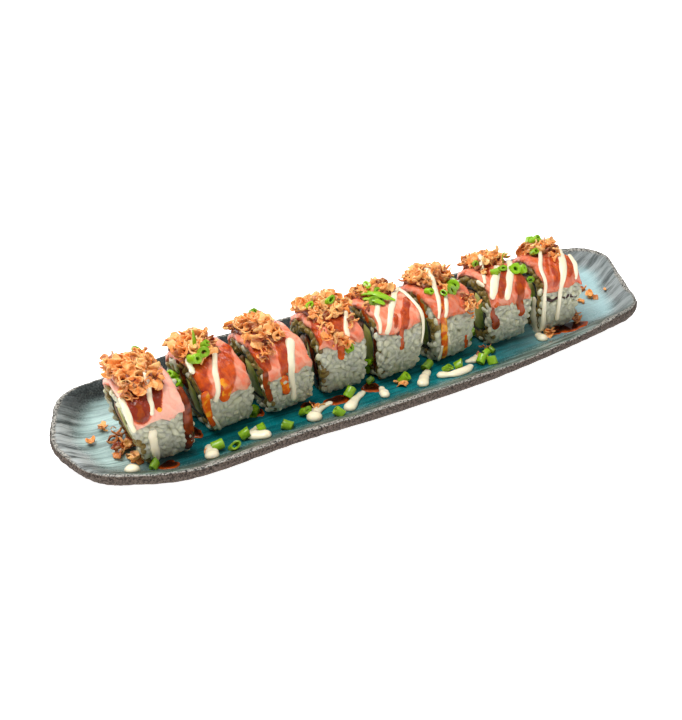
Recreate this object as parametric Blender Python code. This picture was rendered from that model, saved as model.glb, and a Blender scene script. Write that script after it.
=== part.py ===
"""Eight uramaki rolls with salmon, mayonnaise, crisp onion and scallion, in a row on a long stoneware plate.

The plate lies along X, the cut faces of the rolls look along X, and the front of the row looks along -Y.
Lengths are in metres and angles in degrees. The origin is under the middle of the plate, at its foot.
"""
import math
import random

import bmesh
import bpy
from mathutils import Matrix, Vector
from mathutils.bvhtree import BVHTree

MM = 0.001
GAP = 0.35 * MM

# Plate: corners of the rim seen from above, in millimetres, joined by a smooth closed curve
RIM_CORNERS = (
    (-155, -48), (-128, -57), (-76, -55), (-26, -56), (30, -54.5), (78, -49), (122, -43), (150, -36),
    (162, -17), (171, 4), (178, 22), (171, 39), (138, 48), (90, 53), (18, 57), (-40, 52.5), (-84, 49),
    (-136, 39.5), (-163.5, 32), (-174, 12), (-179, -6), (-175, -25), (-168, -39.5),
)
RIM_STEPS = 2
RIM_HEIGHT = 12.6 * MM
RIM_WAVE = 0.7 * MM
RIGHT_END_LIFT = 3.6 * MM
LEFT_END_LIFT = 1.2 * MM
SPINE_HALF = 118 * MM
FLOOR_HEIGHT = 6.0 * MM
# Plate section from the foot to the floor: distance in from the rim and height, in millimetres.
# Heights over the floor follow the rim where it rises.
FOOT_SECTION = ((15.0, 0.0), (6.0, 5.3), (2.0, 7.4))
WALL_SECTION = (
    (0.3, 0.42), (0.0, 0.76), (1.0, 0.97), (2.6, 1.0), (5.0, 0.86), (9.5, 0.42), (15.0, 0.1), (21.0, 0.0),
)

# Roll section, across and up
ROLL_DEPTH = 35.0 * MM
ROLL_HEIGHT = 35.5 * MM
TOP_SQUARENESS = 2.35
BASE_SQUARENESS = 4.2
BELLY = 0.10
# How much shorter along the roll it is at the plate, and the height up to which it narrows
BASE_TAPER = 0.27
TAPER_HEIGHT = 26.0 * MM
CORE_DEPTH = 21.0 * MM
CORE_HEIGHT = 24.5 * MM
CORE_CENTRE = 17.8 * MM
NORI_THICKNESS = 0.8 * MM
SALMON_THICKNESS = 3.2 * MM
SALMON_EDGE = 0.35
BACK_EDGE = 152.0
BUMP = 0.75 * MM
RICE_SIDES = 20
NORI_SIDES = 14

# Each roll: centre on the plate in millimetres, yaw, slice thickness in millimetres, lean to the left,
# the angle on the section where the salmon ends at the front, the share of the core that is avocado
ROLLS = (
    dict(at=(-132.6, -20.5), yaw=2.0, slice=26.5, lean=9.0, edge=18.0, avocado=0.50),
    dict(at=(-98.9, -10.8), yaw=9.0, slice=25.5, lean=8.0, edge=12.0, avocado=0.42),
    dict(at=(-66.8, -10.6), yaw=6.5, slice=26.0, lean=7.5, edge=16.0, avocado=0.55),
    dict(at=(-34.9, -8.6), yaw=0.0, slice=25.0, lean=2.5, edge=32.0, avocado=0.45),
    dict(at=(-3.3, -9.8), yaw=2.0, slice=25.5, lean=0.5, edge=33.0, avocado=0.48),
    dict(at=(30.4, -8.2), yaw=6.0, slice=26.0, lean=1.5, edge=25.0, avocado=0.55),
    dict(at=(67.0, -8.4), yaw=1.5, slice=26.0, lean=0.5, edge=22.0, avocado=0.45),
    dict(at=(101.6, -10.2), yaw=-5.0, slice=24.5, lean=-1.0, edge=28.0, avocado=0.50),
)

# Crisp onion heaps: angles on the section from front to back, reach along the roll in millimetres,
# height in millimetres and how many of their flakes stand out of the core
HEAPS = (
    dict(front=62.0, back=130.0, left=-12.0, right=9.0, height=8.5, flakes=8),
    dict(front=69.0, back=132.0, left=-12.0, right=6.5, height=5.5, flakes=7),
    dict(front=64.0, back=130.0, left=-12.0, right=5.0, height=6.0, flakes=7),
    dict(front=73.0, back=134.0, left=-11.5, right=11.5, height=5.5, flakes=7),
    dict(front=94.0, back=142.0, left=-11.0, right=8.5, height=5.0, flakes=6),
    dict(front=84.0, back=136.0, left=-11.0, right=11.0, height=7.0, flakes=6),
    dict(front=95.0, back=138.0, left=-9.0, right=12.0, height=5.5, flakes=6),
    dict(front=95.0, back=138.0, left=-7.0, right=10.0, height=6.0, flakes=6),
)

# Scallion slices on each heap: angle on the section, place along the roll and across-size in millimetres
HEAP_SCALLIONS = (
    ((118.0, 6.0, 2.4),),
    ((76.0, -8.0, 2.4), (78.0, -3.5, 2.4)),
    ((112.0, 2.0, 2.2),),
    ((89.0, 1.6, 2.2), (91.0, -9.0, 2.0)),
    ((102.0, -7.3, 2.4), (106.0, -4.0, 2.4)),
    ((90.0, -6.0, 2.2), (90.0, 2.6, 2.4)),
    ((102.0, -6.0, 2.2), (101.0, 1.5, 2.4), (101.0, 8.0, 2.4)),
    ((101.0, -5.0, 2.2), (113.0, -1.2, 2.2)),
)

# Mayonnaise lines on each roll: place along the roll at the top and at the end in millimetres, then the
# angles on the section there
DRIZZLES = (
    ((1.2, -3.0, 52.0, 34.0), (-10.8, -10.8, 50.0, 22.0)),
    ((0.8, -8.0, 58.0, 14.0),),
    ((6.0, 1.0, 54.0, 0.0),),
    ((5.5, 2.8, 62.0, 39.0),),
    ((-6.0, -10.6, 82.0, 42.0), (5.0, -8.9, 82.0, 37.0), (10.6, 10.6, 82.0, 28.0)),
    ((-3.2, -8.6, 66.0, 34.0), (-6.5, -10.6, 74.0, 40.0)),
    ((1.0, -10.6, 84.0, 44.0), (10.4, -5.3, 82.0, 36.0)),
    ((-7.0, -10.4, 84.0, 24.0), (5.5, -3.0, 84.0, 4.0), (10.4, 6.6, 82.0, 40.0)),
)
DRIZZLE_HALF_WIDTH = 1.5 * MM
DRIZZLE_HALF_HEIGHT = 1.0 * MM

# Onion flakes that lie on the front of a salmon slice: angle on the section and place along the roll
SALMON_FLAKES = {5: ((30.0, 8.0), (42.0, 6.0), (44.0, 9.5)), 3: ((46.0, -7.0), (42.0, -2.0))}

# Mayonnaise that fell on the plate: the middle line of each strand in millimetres and its half width,
# then the scallion slices stuck to it
MAYO_STRANDS = (
    dict(line=((-150.5, -33), (-151.2, -38), (-152.6, -42)), size=(2.4, 2.8, 3.6), greens=()),
    dict(line=((-113.5, -36), (-114, -40), (-115.5, -44)), size=(2.4, 3.0, 3.8), greens=((-110.5, -39),)),
    dict(line=((-87, -31.5), (-90.5, -34), (-92, -37.5), (-87, -40.5)), size=(1.6, 2.2, 3.4, 3.4),
         greens=((-86.5, -35.5), (-95.5, -36.5))),
    dict(line=((-46, -29.5), (-53, -31.5), (-58, -34.5), (-59.5, -38.3)), size=(1.4, 2.0, 2.8, 3.8),
         greens=((-62, -33),)),
    dict(line=((-27, -29.3), (-33.5, -33), (-40, -39)), size=(1.5, 2.1, 3.4), greens=((-34.5, -29),)),
    dict(line=((-16.6, -30.6), (-18.5, -37)), size=(1.7, 2.8), greens=()),
    dict(line=((12.3, -28.8), (8, -32.5), (4, -37.5)), size=(2.0, 2.4, 3.2), greens=((14, -26),)),
    dict(line=((17, -35), (24, -38.5), (31, -37.8), (35.5, -35)), size=(2.2, 2.6, 2.4, 2.0),
         greens=((22, -33.5), (29, -33))),
    dict(line=((45.5, -28.4), (41, -30.6), (37.5, -29.8)), size=(1.9, 2.2, 1.6),
         greens=((49, -30), (43, -34.5))),
    dict(line=((88, -26.5), (87.5, -30.5)), size=(2.4, 2.8), greens=()),
)

# Small pieces that lie loose on the plate, in millimetres
PLATE_SCALLIONS = (
    (-141.5, -39.5), (-104, -43.5), (-74.5, -39), (-48, -42.5), (-3, -30), (54.5, -27.5), (47.5, -37.5),
    (-117, 24), (-83.5, -20), (-18.8, -22.5), (17, 24), (49.5, -12), (86.5, -7),
)
PLATE_FLAKES = (
    (-153, 4), (-149.5, -1), (-150, -12), (-153, -20.5), (-149.5, -26), (-162, -7),
    (-146.5, -33.5), (-117, -33), (1, -27), (56, -22), (100, -28), (117.5, -27), (125.5, -18),
    (138, -2), (143.5, -5.5), (149.5, 8), (157.5, -2.5),
)

PALETTE = {
    "stoneware": ((0.06, 0.19, 0.20), 0.35),
    "rice": ((0.80, 0.80, 0.72), 0.55),
    "nori": ((0.012, 0.016, 0.012), 0.6),
    "avocado": ((0.46, 0.53, 0.13), 0.5),
    "filling": ((0.16, 0.055, 0.02), 0.45),
    "salmon": ((0.83, 0.24, 0.13), 0.3),
    "onion": ((0.62, 0.22, 0.06), 0.6),
    "mayonnaise": ((0.88, 0.80, 0.58), 0.35),
}


def finish(name):
    """The material of one kind of piece, made once."""
    if name in bpy.data.materials:
        return bpy.data.materials[name]
    color, roughness = PALETTE[name]
    material = bpy.data.materials.new(name)
    material.use_nodes = True
    shader = material.node_tree.nodes["Principled BSDF"]
    shader.inputs["Base Color"].default_value = (*color, 1.0)
    shader.inputs["Roughness"].default_value = roughness
    shader.inputs["Metallic"].default_value = 0.0
    return material


def solid(name, points, faces, kind):
    """A closed mesh object, its faces turned outwards."""
    mesh = bpy.data.meshes.new(name)
    mesh.from_pydata([tuple(point) for point in points], [], faces)
    work = bmesh.new()
    work.from_mesh(mesh)
    bmesh.ops.recalc_face_normals(work, faces=work.faces)
    work.to_mesh(mesh)
    work.free()
    mesh.materials.append(finish(kind))
    thing = bpy.data.objects.new(name, mesh)
    bpy.context.scene.collection.objects.link(thing)
    return thing


def loft(rings, wrap=False):
    """Points and faces of a skin over rings of equal length, closed on itself or with a cap at each end."""
    count = len(rings[0])
    points = [point for ring in rings for point in ring]
    spans = len(rings) if wrap else len(rings) - 1
    faces = []
    for span in range(spans):
        here = span * count
        there = (span + 1) % len(rings) * count
        for side in range(count):
            after = (side + 1) % count
            faces.append((here + side, here + after, there + after, there + side))
    if not wrap:
        faces.append(tuple(reversed(range(count))))
        faces.append(tuple(range((len(rings) - 1) * count, len(rings) * count)))
    return points, faces


def slab(outer, inner):
    """Points and faces of a thin body between two grids of points with the same rows and columns."""
    rows = len(outer)
    columns = len(outer[0])
    points = [point for row in outer for point in row] + [point for row in inner for point in row]
    lower = rows * columns
    faces = []
    for row in range(rows - 1):
        for column in range(columns - 1):
            a = row * columns + column
            b = a + 1
            c = a + columns + 1
            d = a + columns
            faces.append((a, b, c, d))
            faces.append((lower + d, lower + c, lower + b, lower + a))
    edge = [column for column in range(columns)]
    edge += [row * columns + columns - 1 for row in range(1, rows)]
    edge += [(rows - 1) * columns + column for column in range(columns - 2, -1, -1)]
    edge += [row * columns for row in range(rows - 2, 0, -1)]
    for place, a in enumerate(edge):
        b = edge[(place + 1) % len(edge)]
        faces.append((a, b, lower + b, lower + a))
    return points, faces


def keep_largest_body(work):
    """Drops sealed hollows and loose scraps that fusing can leave."""
    bodies = []
    left = set(work.verts)
    while left:
        body = {left.pop()}
        edge = list(body)
        while edge:
            vert = edge.pop()
            for link in vert.link_edges:
                other = link.other_vert(vert)
                if other not in body:
                    body.add(other)
                    edge.append(other)
        left -= body
        bodies.append(body)
    largest = max(bodies, key=len)
    scraps = [vert for vert in work.verts if vert not in largest]
    bmesh.ops.delete(work, geom=scraps, context="VERTS")


def drop_folds(work):
    """Drops pairs of triangles that lie on each other, which merging close corners can leave."""
    seen = {}
    folded = []
    for face in work.faces:
        corners = frozenset(face.verts)
        if corners in seen:
            folded += [face, seen.pop(corners)]
        else:
            seen[corners] = face
    bmesh.ops.delete(work, geom=folded, context="FACES")


def fuse(base, pieces):
    """Joins small pieces to the base by one Boolean union on a collection."""
    if not pieces:
        return base
    toppings = bpy.data.collections.new(base.name + "_toppings")
    bpy.context.scene.collection.children.link(toppings)
    for piece in pieces:
        bpy.context.scene.collection.objects.unlink(piece)
        toppings.objects.link(piece)
    union = base.modifiers.new("union", "BOOLEAN")
    union.operation = "UNION"
    union.operand_type = "COLLECTION"
    union.collection = toppings
    union.solver = "EXACT"
    view = bpy.context.view_layer
    view.update()
    joined = bpy.data.meshes.new_from_object(base.evaluated_get(view.depsgraph))
    base.modifiers.remove(union)
    work = bmesh.new()
    work.from_mesh(joined)
    bmesh.ops.remove_doubles(work, verts=work.verts, dist=0.001 * MM)
    bmesh.ops.triangulate(work, faces=work.faces)
    drop_folds(work)
    keep_largest_body(work)
    work.to_mesh(joined)
    work.free()
    base.data = joined
    for piece in pieces:
        bpy.data.objects.remove(piece)
    bpy.data.collections.remove(toppings)
    return base


def ease(low, high, value):
    """0 below low, 1 above high and a smooth rise between."""
    share = min(1.0, max(0.0, (value - low) / (high - low)))
    return share * share * (3.0 - 2.0 * share)


def closed_curve(corners, steps):
    """Points of a smooth closed curve through the corners."""
    count = len(corners)
    curve = []
    for place in range(count):
        before, start, end, after = (Vector(corners[(place + shift) % count]) for shift in (-1, 0, 1, 2))
        for step in range(steps):
            t = step / steps
            curve.append(0.5 * (2 * start + (end - before) * t
                                + (2 * before - 5 * start + 4 * end - after) * t * t
                                + (3 * start - before - 3 * end + after) * t ** 3))
    return curve


def rim_height(x, turn):
    """The rim rises at both ends and is a little wavy, as hand-made ware is."""
    wave = RIM_WAVE * (math.sin(3 * turn + 0.6) + 0.6 * math.sin(7 * turn))
    lift = RIGHT_END_LIFT * ease(70 * MM, 175 * MM, x) + LEFT_END_LIFT * ease(100 * MM, 170 * MM, -x)
    return RIM_HEIGHT + wave + lift


def make_plate():
    """The long plate: flat foot, short rough wall, round lip and a shallow dish."""
    outline = [Vector((x * MM, y * MM)) for x, y in closed_curve(RIM_CORNERS, RIM_STEPS)]
    rings = []
    for inset, height in FOOT_SECTION:
        rings.append([plate_point(corner, inset * MM, height * MM) for corner in outline])
    for inset, share in WALL_SECTION:
        ring = []
        for corner in outline:
            turn = math.atan2(corner.y * 3.0, corner.x)
            top = rim_height(corner.x, turn)
            ring.append(plate_point(corner, inset * MM, FLOOR_HEIGHT + share * (top - FLOOR_HEIGHT)))
        rings.append(ring)
    points, faces = loft(rings)
    return solid("plate", points, faces, "stoneware")


def plate_point(corner, inset, height):
    """A point in from a corner of the outline, towards the plate's middle line."""
    middle = Vector((max(-SPINE_HALF, min(SPINE_HALF, corner.x)), 0.0))
    inward = (middle - corner).normalized()
    place = corner + inward * inset
    return Vector((place.x, place.y, height))


def section(turn, depth, height):
    """Across and up on a rounded square section: 0 degrees is the front, 90 the top."""
    angle = math.radians(turn)
    across = -math.cos(angle)
    up = math.sin(angle)
    power = 2.0 / (TOP_SQUARENESS if up > 0 else BASE_SQUARENESS)
    y = math.copysign(abs(across) ** power, across) * depth / 2
    z = math.copysign(abs(up) ** power, up) * height / 2
    return y, z


def skin(turn, out):
    """A point on the outside of the rice, or out from it, across and up from the plate."""
    def on_skin(angle):
        y, z = section(angle, ROLL_DEPTH, ROLL_HEIGHT)
        return Vector((y * (1.0 + BELLY * z / ROLL_HEIGHT), z + ROLL_HEIGHT / 2))
    here = on_skin(turn)
    along = on_skin(turn + 1.0) - on_skin(turn - 1.0)
    normal = Vector((-along.y, along.x)).normalized()
    return here + normal * out


def core(turn, out):
    """A point on the wrapped core, across and up from the plate."""
    y, z = section(turn, CORE_DEPTH + 2 * out, CORE_HEIGHT + 2 * out)
    return Vector((y, z + CORE_CENTRE))


def on_roll(along, place):
    """A point of a roll before it is set down: along the roll, across and up."""
    height = max(place.y, 0.0)
    narrow = 1.0 - BASE_TAPER * max(0.0, 1.0 - height / TAPER_HEIGHT) ** 2
    return Vector((along * narrow, place.x, height))


def set_down(thing, roll):
    """Leans a roll's piece, turns it and sets it on the plate floor."""
    shear = Matrix.Identity(4)
    shear[0][2] = -math.tan(math.radians(roll["lean"]))
    turn = Matrix.Rotation(math.radians(roll["yaw"]), 4, "Z")
    x, y = roll["at"]
    place = Matrix.Translation((x * MM, y * MM, FLOOR_HEIGHT + GAP))
    thing.data.transform(place @ turn @ shear)


def make_rice(number, roll, draw):
    """Rice round the core, uneven by the size of its grains where no salmon lies on it."""
    half = roll["slice"] * MM / 2
    turns = [360.0 * side / RICE_SIDES for side in range(RICE_SIDES)]
    stations = ((-half, -1.1), (-half * 0.62, 0.0), (-half * 0.05, 0.0), (half * 0.58, 0.0), (half, -1.1))
    rings = []
    for along, rounding in stations:
        ring = []
        for turn in turns:
            under_salmon = ease(roll["edge"] - 16, roll["edge"] - 4, turn) * (1 - ease(156, 168, turn))
            if turn > 300:
                under_salmon = ease(roll["edge"] - 16, roll["edge"] - 4, turn - 360)
            bump = draw.uniform(-1.0, 1.0) * BUMP * (1 - under_salmon)
            slip = draw.uniform(-1.0, 1.0) * 0.8 * MM * (1 - under_salmon) * (0.4 if rounding else 1.0)
            ring.append(on_roll(along + slip, skin(turn, rounding * MM + bump)))
        rings.append(ring)
    rings.append(face_ring(half, turns, draw))
    rings.append([on_roll(half - 0.4 * MM, core(turn, GAP)) for turn in turns])
    rings.append([on_roll(-half + 0.4 * MM, core(turn, GAP)) for turn in turns])
    rings.append(face_ring(-half, turns, draw))
    points, faces = loft(rings, wrap=True)
    return solid(f"rice_{number}", points, faces, "rice")


def face_ring(along, turns, draw):
    """The middle of a cut rice face, half way between skin and core."""
    ring = []
    for turn in turns:
        middle = skin(turn, 0).lerp(core(turn, 0), 0.5)
        ring.append(on_roll(along + math.copysign(draw.uniform(0.0, 0.9) * MM, along), middle))
    return ring


def make_nori(number, roll):
    """The sheet of nori round the core, a tube that runs through the roll."""
    half = roll["slice"] * MM / 2 + 0.2 * MM
    turns = [360.0 * side / NORI_SIDES for side in range(NORI_SIDES)]
    rings = [
        [on_roll(-half, core(turn, 0)) for turn in turns],
        [on_roll(half, core(turn, 0)) for turn in turns],
        [on_roll(half, core(turn, -NORI_THICKNESS)) for turn in turns],
        [on_roll(-half, core(turn, -NORI_THICKNESS)) for turn in turns],
    ]
    points, faces = loft(rings, wrap=True)
    return solid(f"nori_{number}", points, faces, "nori")


def make_core_strip(name, kind, roll, front, split):
    """Avocado or filling: the part of the core before or behind the split, run through the roll."""
    half = roll["slice"] * MM / 2 + (0.6 if front else 0.3) * MM
    inset = -NORI_THICKNESS - GAP
    sides = 9
    outline = []
    for side in range(NORI_SIDES * 2):
        turn = 180.0 * side / NORI_SIDES
        place = core(turn, inset)
        limit = split - GAP / 2 if front else split + GAP / 2
        if (place.x < limit) == front:
            outline.append((turn if turn < 180 or not front else turn - 360, place))
    outline.sort(key=lambda pair: pair[0])
    step = (len(outline) - 1) / (sides - 1)
    corners = [outline[round(side * step)][1] for side in range(sides)]
    points, faces = loft([[on_roll(along, corner) for corner in corners] for along in (-half, half)])
    return solid(name, points, faces, kind)


def salmon_out(roll, turn):
    """How far the salmon's outside stands off the rice: full in the middle, thin at its two edges."""
    rise = ease(roll["edge"] - 2, roll["edge"] + 16, turn) * (1 - ease(BACK_EDGE - 16, BACK_EDGE + 2, turn))
    return GAP + SALMON_THICKNESS * (SALMON_EDGE + (1 - SALMON_EDGE) * rise)


def make_salmon(number, roll, draw):
    """The slice of salmon draped over the roll, with its lines of mayonnaise fused on."""
    half = roll["slice"] * MM / 2
    columns = 10
    outer = []
    inner = []
    for along in (-half, -half * 0.4, half * 0.35, half):
        wave = draw.uniform(-5.0, 5.0)
        rounding = 0.6 * MM if abs(along) == half else 0.0
        upper_row = []
        lower_row = []
        for column in range(columns):
            share = column / (columns - 1)
            turn = roll["edge"] + wave * (1 - share) + share * (BACK_EDGE - roll["edge"])
            ripple = draw.uniform(-0.2, 0.2) * MM
            upper_row.append(on_roll(along, skin(turn, salmon_out(roll, turn) - rounding + ripple)))
            lower_row.append(on_roll(along, skin(turn, GAP)))
        outer.append(upper_row)
        inner.append(lower_row)
    points, faces = slab(outer, inner)
    slice_ = solid(f"salmon_{number}", points, faces, "salmon")
    extras = [drizzle(roll, *line) for line in DRIZZLES[number - 1]]
    for turn, along in SALMON_FLAKES.get(number - 1, ()):
        place = on_roll(along * MM, skin(turn, salmon_out(roll, turn) + 0.5 * MM))
        extras.append(flake(place, draw, 3.2 * MM, 0.35))
    return fuse(slice_, extras)


def drizzle(roll, along_top, along_end, turn_top, turn_end):
    """One line of mayonnaise that runs down the front and ends in a drop."""
    steps = 4
    sides = 5
    rings = []
    for step in range(steps + 1):
        share = step / steps
        turn = turn_top + (turn_end - turn_top) * share
        along = (along_top + (along_end - along_top) * share) * MM
        width = DRIZZLE_HALF_WIDTH * (0.5 if step in (0, steps) else 1.1 if step == steps - 1 else 0.9)
        height = DRIZZLE_HALF_HEIGHT * (0.5 if step in (0, steps) else 1.0)
        on_salmon = ease(roll["edge"] - 12, roll["edge"] + 6, turn)
        off_rice = GAP + BUMP + DRIZZLE_HALF_HEIGHT + 0.35 * MM
        out = off_rice + on_salmon * (salmon_out(roll, turn) + 0.1 * MM - off_rice)
        ring = []
        for side in range(sides):
            angle = math.tau * side / sides
            place = skin(turn, out + height * math.sin(angle))
            ring.append(on_roll(along + width * math.cos(angle), place))
        rings.append(ring)
    points, faces = loft(rings)
    return solid("drizzle", points, faces, "mayonnaise")


def flake(place, draw, length, lift=1.0):
    """A bent shred of fried onion."""
    heading = draw.uniform(0.0, math.tau)
    rise = draw.uniform(-0.3, 0.7) * lift
    forward = Vector((math.cos(heading), math.sin(heading), rise)).normalized()
    side = forward.cross(Vector((0, 0, 1))).normalized()
    up = side.cross(forward)
    wide = length * draw.uniform(0.22, 0.36)
    thick = 0.75 * MM
    bend = draw.uniform(0.15, 0.35) * length
    rings = []
    for share, width in ((-0.5, 0.6), (0.0, 1.0), (0.5, 0.5)):
        middle = place + forward * (share * length) + up * (bend * (0.25 - share * share) * 2)
        across = side * (wide * width)
        rings.append([middle - across - up * thick, middle + across - up * thick,
                      middle + across + up * thick, middle - across + up * thick])
    points, faces = loft(rings)
    return solid("flake", points, faces, "onion")


def scallion(place, axis, size, length=3.4 * MM):
    """A slice of scallion, short and six-sided."""
    axis = axis.normalized()
    side = axis.orthogonal().normalized()
    other = axis.cross(side)
    rings = []
    for end in (-0.5, 0.5):
        middle = place + axis * (end * length)
        rings.append([middle + (side * math.cos(angle) + other * math.sin(angle)) * size
                      for angle in (math.tau * step / 6 for step in range(6))])
    points, faces = loft(rings)
    return solid("scallion", points, faces, "avocado")


def heap_out(roll, heap, turn, along):
    """How far the top of the bare heap stands off the rice."""
    middle = (heap["front"] + heap["back"]) / 2
    reach = (heap["back"] - heap["front"]) / 2
    centre = (heap["left"] + heap["right"]) / 2 * MM
    width = (heap["right"] - heap["left"]) / 2 * MM
    far = min(1.0, ((turn - middle) / reach) ** 4 + ((along - centre) / width) ** 4)
    bare = salmon_out(roll, turn) + GAP + 0.25 * MM
    return bare + 0.9 * MM + (heap["height"] * MM * 0.62 - 0.9 * MM) * (1 - far) ** 0.5


def make_heap(number, roll, heap, greens, draw):
    """Crisp onion on top of the salmon: a low core with flakes and scallion slices fused on."""
    outer = []
    inner = []
    for row in range(5):
        along = (heap["left"] + (heap["right"] - heap["left"]) * row / 4) * MM
        outer.append([])
        inner.append([])
        for column in range(6):
            turn = heap["front"] + (heap["back"] - heap["front"]) * column / 5
            bump = draw.uniform(-0.5, 0.7) * MM if 0 < row < 4 and 0 < column < 5 else 0.0
            outer[row].append(on_roll(along, skin(turn, heap_out(roll, heap, turn, along) + bump)))
            inner[row].append(on_roll(along, skin(turn, salmon_out(roll, turn) + GAP + 0.25 * MM)))
    points, faces = slab(outer, inner)
    heap_core = solid(f"onion_{number}", points, faces, "onion")
    extras = []
    for count in range(heap["flakes"]):
        share = (count + 0.5) / heap["flakes"]
        turn = heap["front"] + (heap["back"] - heap["front"]) * (0.2 + 0.6 * (share * 3.0 % 1.0))
        along = (heap["left"] + (heap["right"] - heap["left"]) * (0.18 + 0.64 * share)) * MM
        out = heap_out(roll, heap, turn, along) + 0.7 * MM
        extras.append(flake(on_roll(along, skin(turn, out)), draw, draw.uniform(5.0, 7.5) * MM))
    for turn, along, size in greens:
        inside = max(heap["front"] + 6, min(heap["back"] - 6, turn))
        reach = max(heap["left"] + 1.5, min(heap["right"] - 1.5, along)) * MM
        out = heap_out(roll, heap, inside, reach) + 1.4 * MM
        axis = Vector((draw.uniform(-1, 1), -1.0, draw.uniform(0.0, 0.6)))
        extras.append(scallion(on_roll(reach, skin(inside, out)), axis, size * MM))
    return fuse(heap_core, extras)


def make_roll(number):
    """One roll with everything on it."""
    roll = ROLLS[number - 1]
    draw = random.Random(40 + number)
    split = (roll["avocado"] - 0.5) * CORE_DEPTH
    pieces = [
        make_rice(number, roll, draw),
        make_nori(number, roll),
        make_core_strip(f"avocado_{number}", "avocado", roll, True, split),
        make_core_strip(f"filling_{number}", "filling", roll, False, split),
        make_salmon(number, roll, draw),
        make_heap(number, roll, HEAPS[number - 1], HEAP_SCALLIONS[number - 1], draw),
    ]
    for piece in pieces:
        set_down(piece, roll)


def make_mayo(number, strand, height_at):
    """A strand of mayonnaise lying on the plate, flat underneath, with scallion slices stuck to it."""
    sides = 7
    rings = []
    line = strand["line"]
    middles = []
    for x, y in line:
        middles.append(Vector((x * MM, y * MM, height_at(x * MM, y * MM))))
    for place, (middle, size) in enumerate(zip(middles, strand["size"])):
        before = middles[max(place - 1, 0)]
        after = middles[min(place + 1, len(middles) - 1)]
        forward = (after - before).normalized()
        across = forward.cross(Vector((0, 0, 1))).normalized()
        ends = ((-0.85, 0.35), (0.0, 1.0)) if place == 0 else ((0.0, 1.0),)
        if place == len(middles) - 1:
            ends = ((0.0, 1.0), (0.85, 0.35))
        for shift, scale in ends:
            ring = []
            for side in range(sides):
                angle = math.tau * side / sides
                spread = across * (math.cos(angle) * size * scale * MM)
                place = middle + forward * (shift * size * MM) + spread
                under = height_at(place.x, place.y) + 0.55 * MM
                crown = middle.z + (1.0 + math.sin(angle) * size * scale * 0.75) * MM
                place.z = max(under, crown) if math.sin(angle) > 0 else under
                ring.append(place)
            rings.append(ring)
    points, faces = loft(rings)
    body = solid(f"mayo_{number}", points, faces, "mayonnaise")
    greens = []
    for x, y in strand["greens"]:
        place = Vector((x * MM, y * MM, height_at(x * MM, y * MM) + 2.9 * MM))
        greens.append(scallion(place, Vector((0.8, 0.5, 0.2)), 2.3 * MM))
    return fuse(body, greens)


def build():
    """Removes what the file holds and makes the plate, the rolls and what fell on the plate."""
    for thing in list(bpy.data.objects):
        bpy.data.objects.remove(thing)
    plate = make_plate()
    surface = BVHTree.FromObject(plate, bpy.context.evaluated_depsgraph_get())

    def height_at(x, y):
        hit = surface.ray_cast(Vector((x, y, 100 * MM)), Vector((0, 0, -1)))
        return hit[0].z

    for number, strand in enumerate(MAYO_STRANDS, start=1):
        make_mayo(number, strand, height_at)
    for number in range(1, len(ROLLS) + 1):
        make_roll(number)
    draw = random.Random(7)
    loose = []
    for x, y in PLATE_SCALLIONS:
        place = Vector((x * MM, y * MM, height_at(x * MM, y * MM) + 1.7 * MM))
        loose.append(scallion(place, Vector((draw.uniform(-1, 1), draw.uniform(-1, 1), 0.15)), 2.3 * MM))
    for x, y in PLATE_FLAKES:
        place = Vector((x * MM, y * MM, height_at(x * MM, y * MM) + 0.5 * MM))
        loose.append(flake(place, draw, draw.uniform(5.0, 7.0) * MM, 0.3))
    fuse(plate, loose)


build()
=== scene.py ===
"""Looks for the row of uramaki rolls on its long stoneware plate, an add-on with one operator a piece.

Lengths are in metres and angles in degrees. A roll is made in its own space first: x along the roll, y from
front to back and z up from the plate, and a place on its skin is an angle, 0 at the front and 90 at the top.
"""
import math
import random

import bpy
import numpy as np
from mathutils import Matrix, Vector
from mathutils.bvhtree import BVHTree


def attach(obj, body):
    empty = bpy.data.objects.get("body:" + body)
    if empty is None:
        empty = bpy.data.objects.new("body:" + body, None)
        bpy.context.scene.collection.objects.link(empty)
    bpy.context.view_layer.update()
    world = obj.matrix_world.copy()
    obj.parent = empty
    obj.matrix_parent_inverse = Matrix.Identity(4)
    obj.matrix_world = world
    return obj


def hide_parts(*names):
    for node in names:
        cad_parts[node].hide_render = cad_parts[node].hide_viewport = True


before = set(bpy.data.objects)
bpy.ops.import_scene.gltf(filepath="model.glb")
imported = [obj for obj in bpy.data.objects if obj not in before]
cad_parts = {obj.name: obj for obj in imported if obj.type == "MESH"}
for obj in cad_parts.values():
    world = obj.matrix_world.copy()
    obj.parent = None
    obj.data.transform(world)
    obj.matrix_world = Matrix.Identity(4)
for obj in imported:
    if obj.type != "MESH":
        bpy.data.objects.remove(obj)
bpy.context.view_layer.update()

MM = 0.001
GAP = 0.35 * MM

bl_info = {
    "name": "Uramaki rolls on a long plate",
    "version": (1, 0, 0),
    "blender": (4, 5, 0),
    "location": "View3D > Sidebar > Rolls",
    "description": "Models eight topped rice rolls and the stoneware plate they are served on",
    "category": "Object",
}

# Plate: corners of the rim seen from above, in millimetres, joined by a smooth closed curve
RIM_CORNERS = (
    (-155, -48), (-128, -57), (-76, -55), (-26, -56), (30, -54.5), (78, -49), (122, -43), (150, -36),
    (162, -17), (171, 4), (178, 22), (171, 39), (138, 48), (90, 53), (18, 57), (-40, 52.5), (-84, 49),
    (-136, 39.5), (-163.5, 32), (-174, 12), (-179, -6), (-175, -25), (-168, -39.5),
)
RIM_HEIGHT = 12.6 * MM
RIM_WAVE = 0.7 * MM
RIGHT_END_LIFT = 3.6 * MM
LEFT_END_LIFT = 1.2 * MM
SPINE_HALF = 118 * MM
FLOOR_HEIGHT = 6.0 * MM
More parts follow.
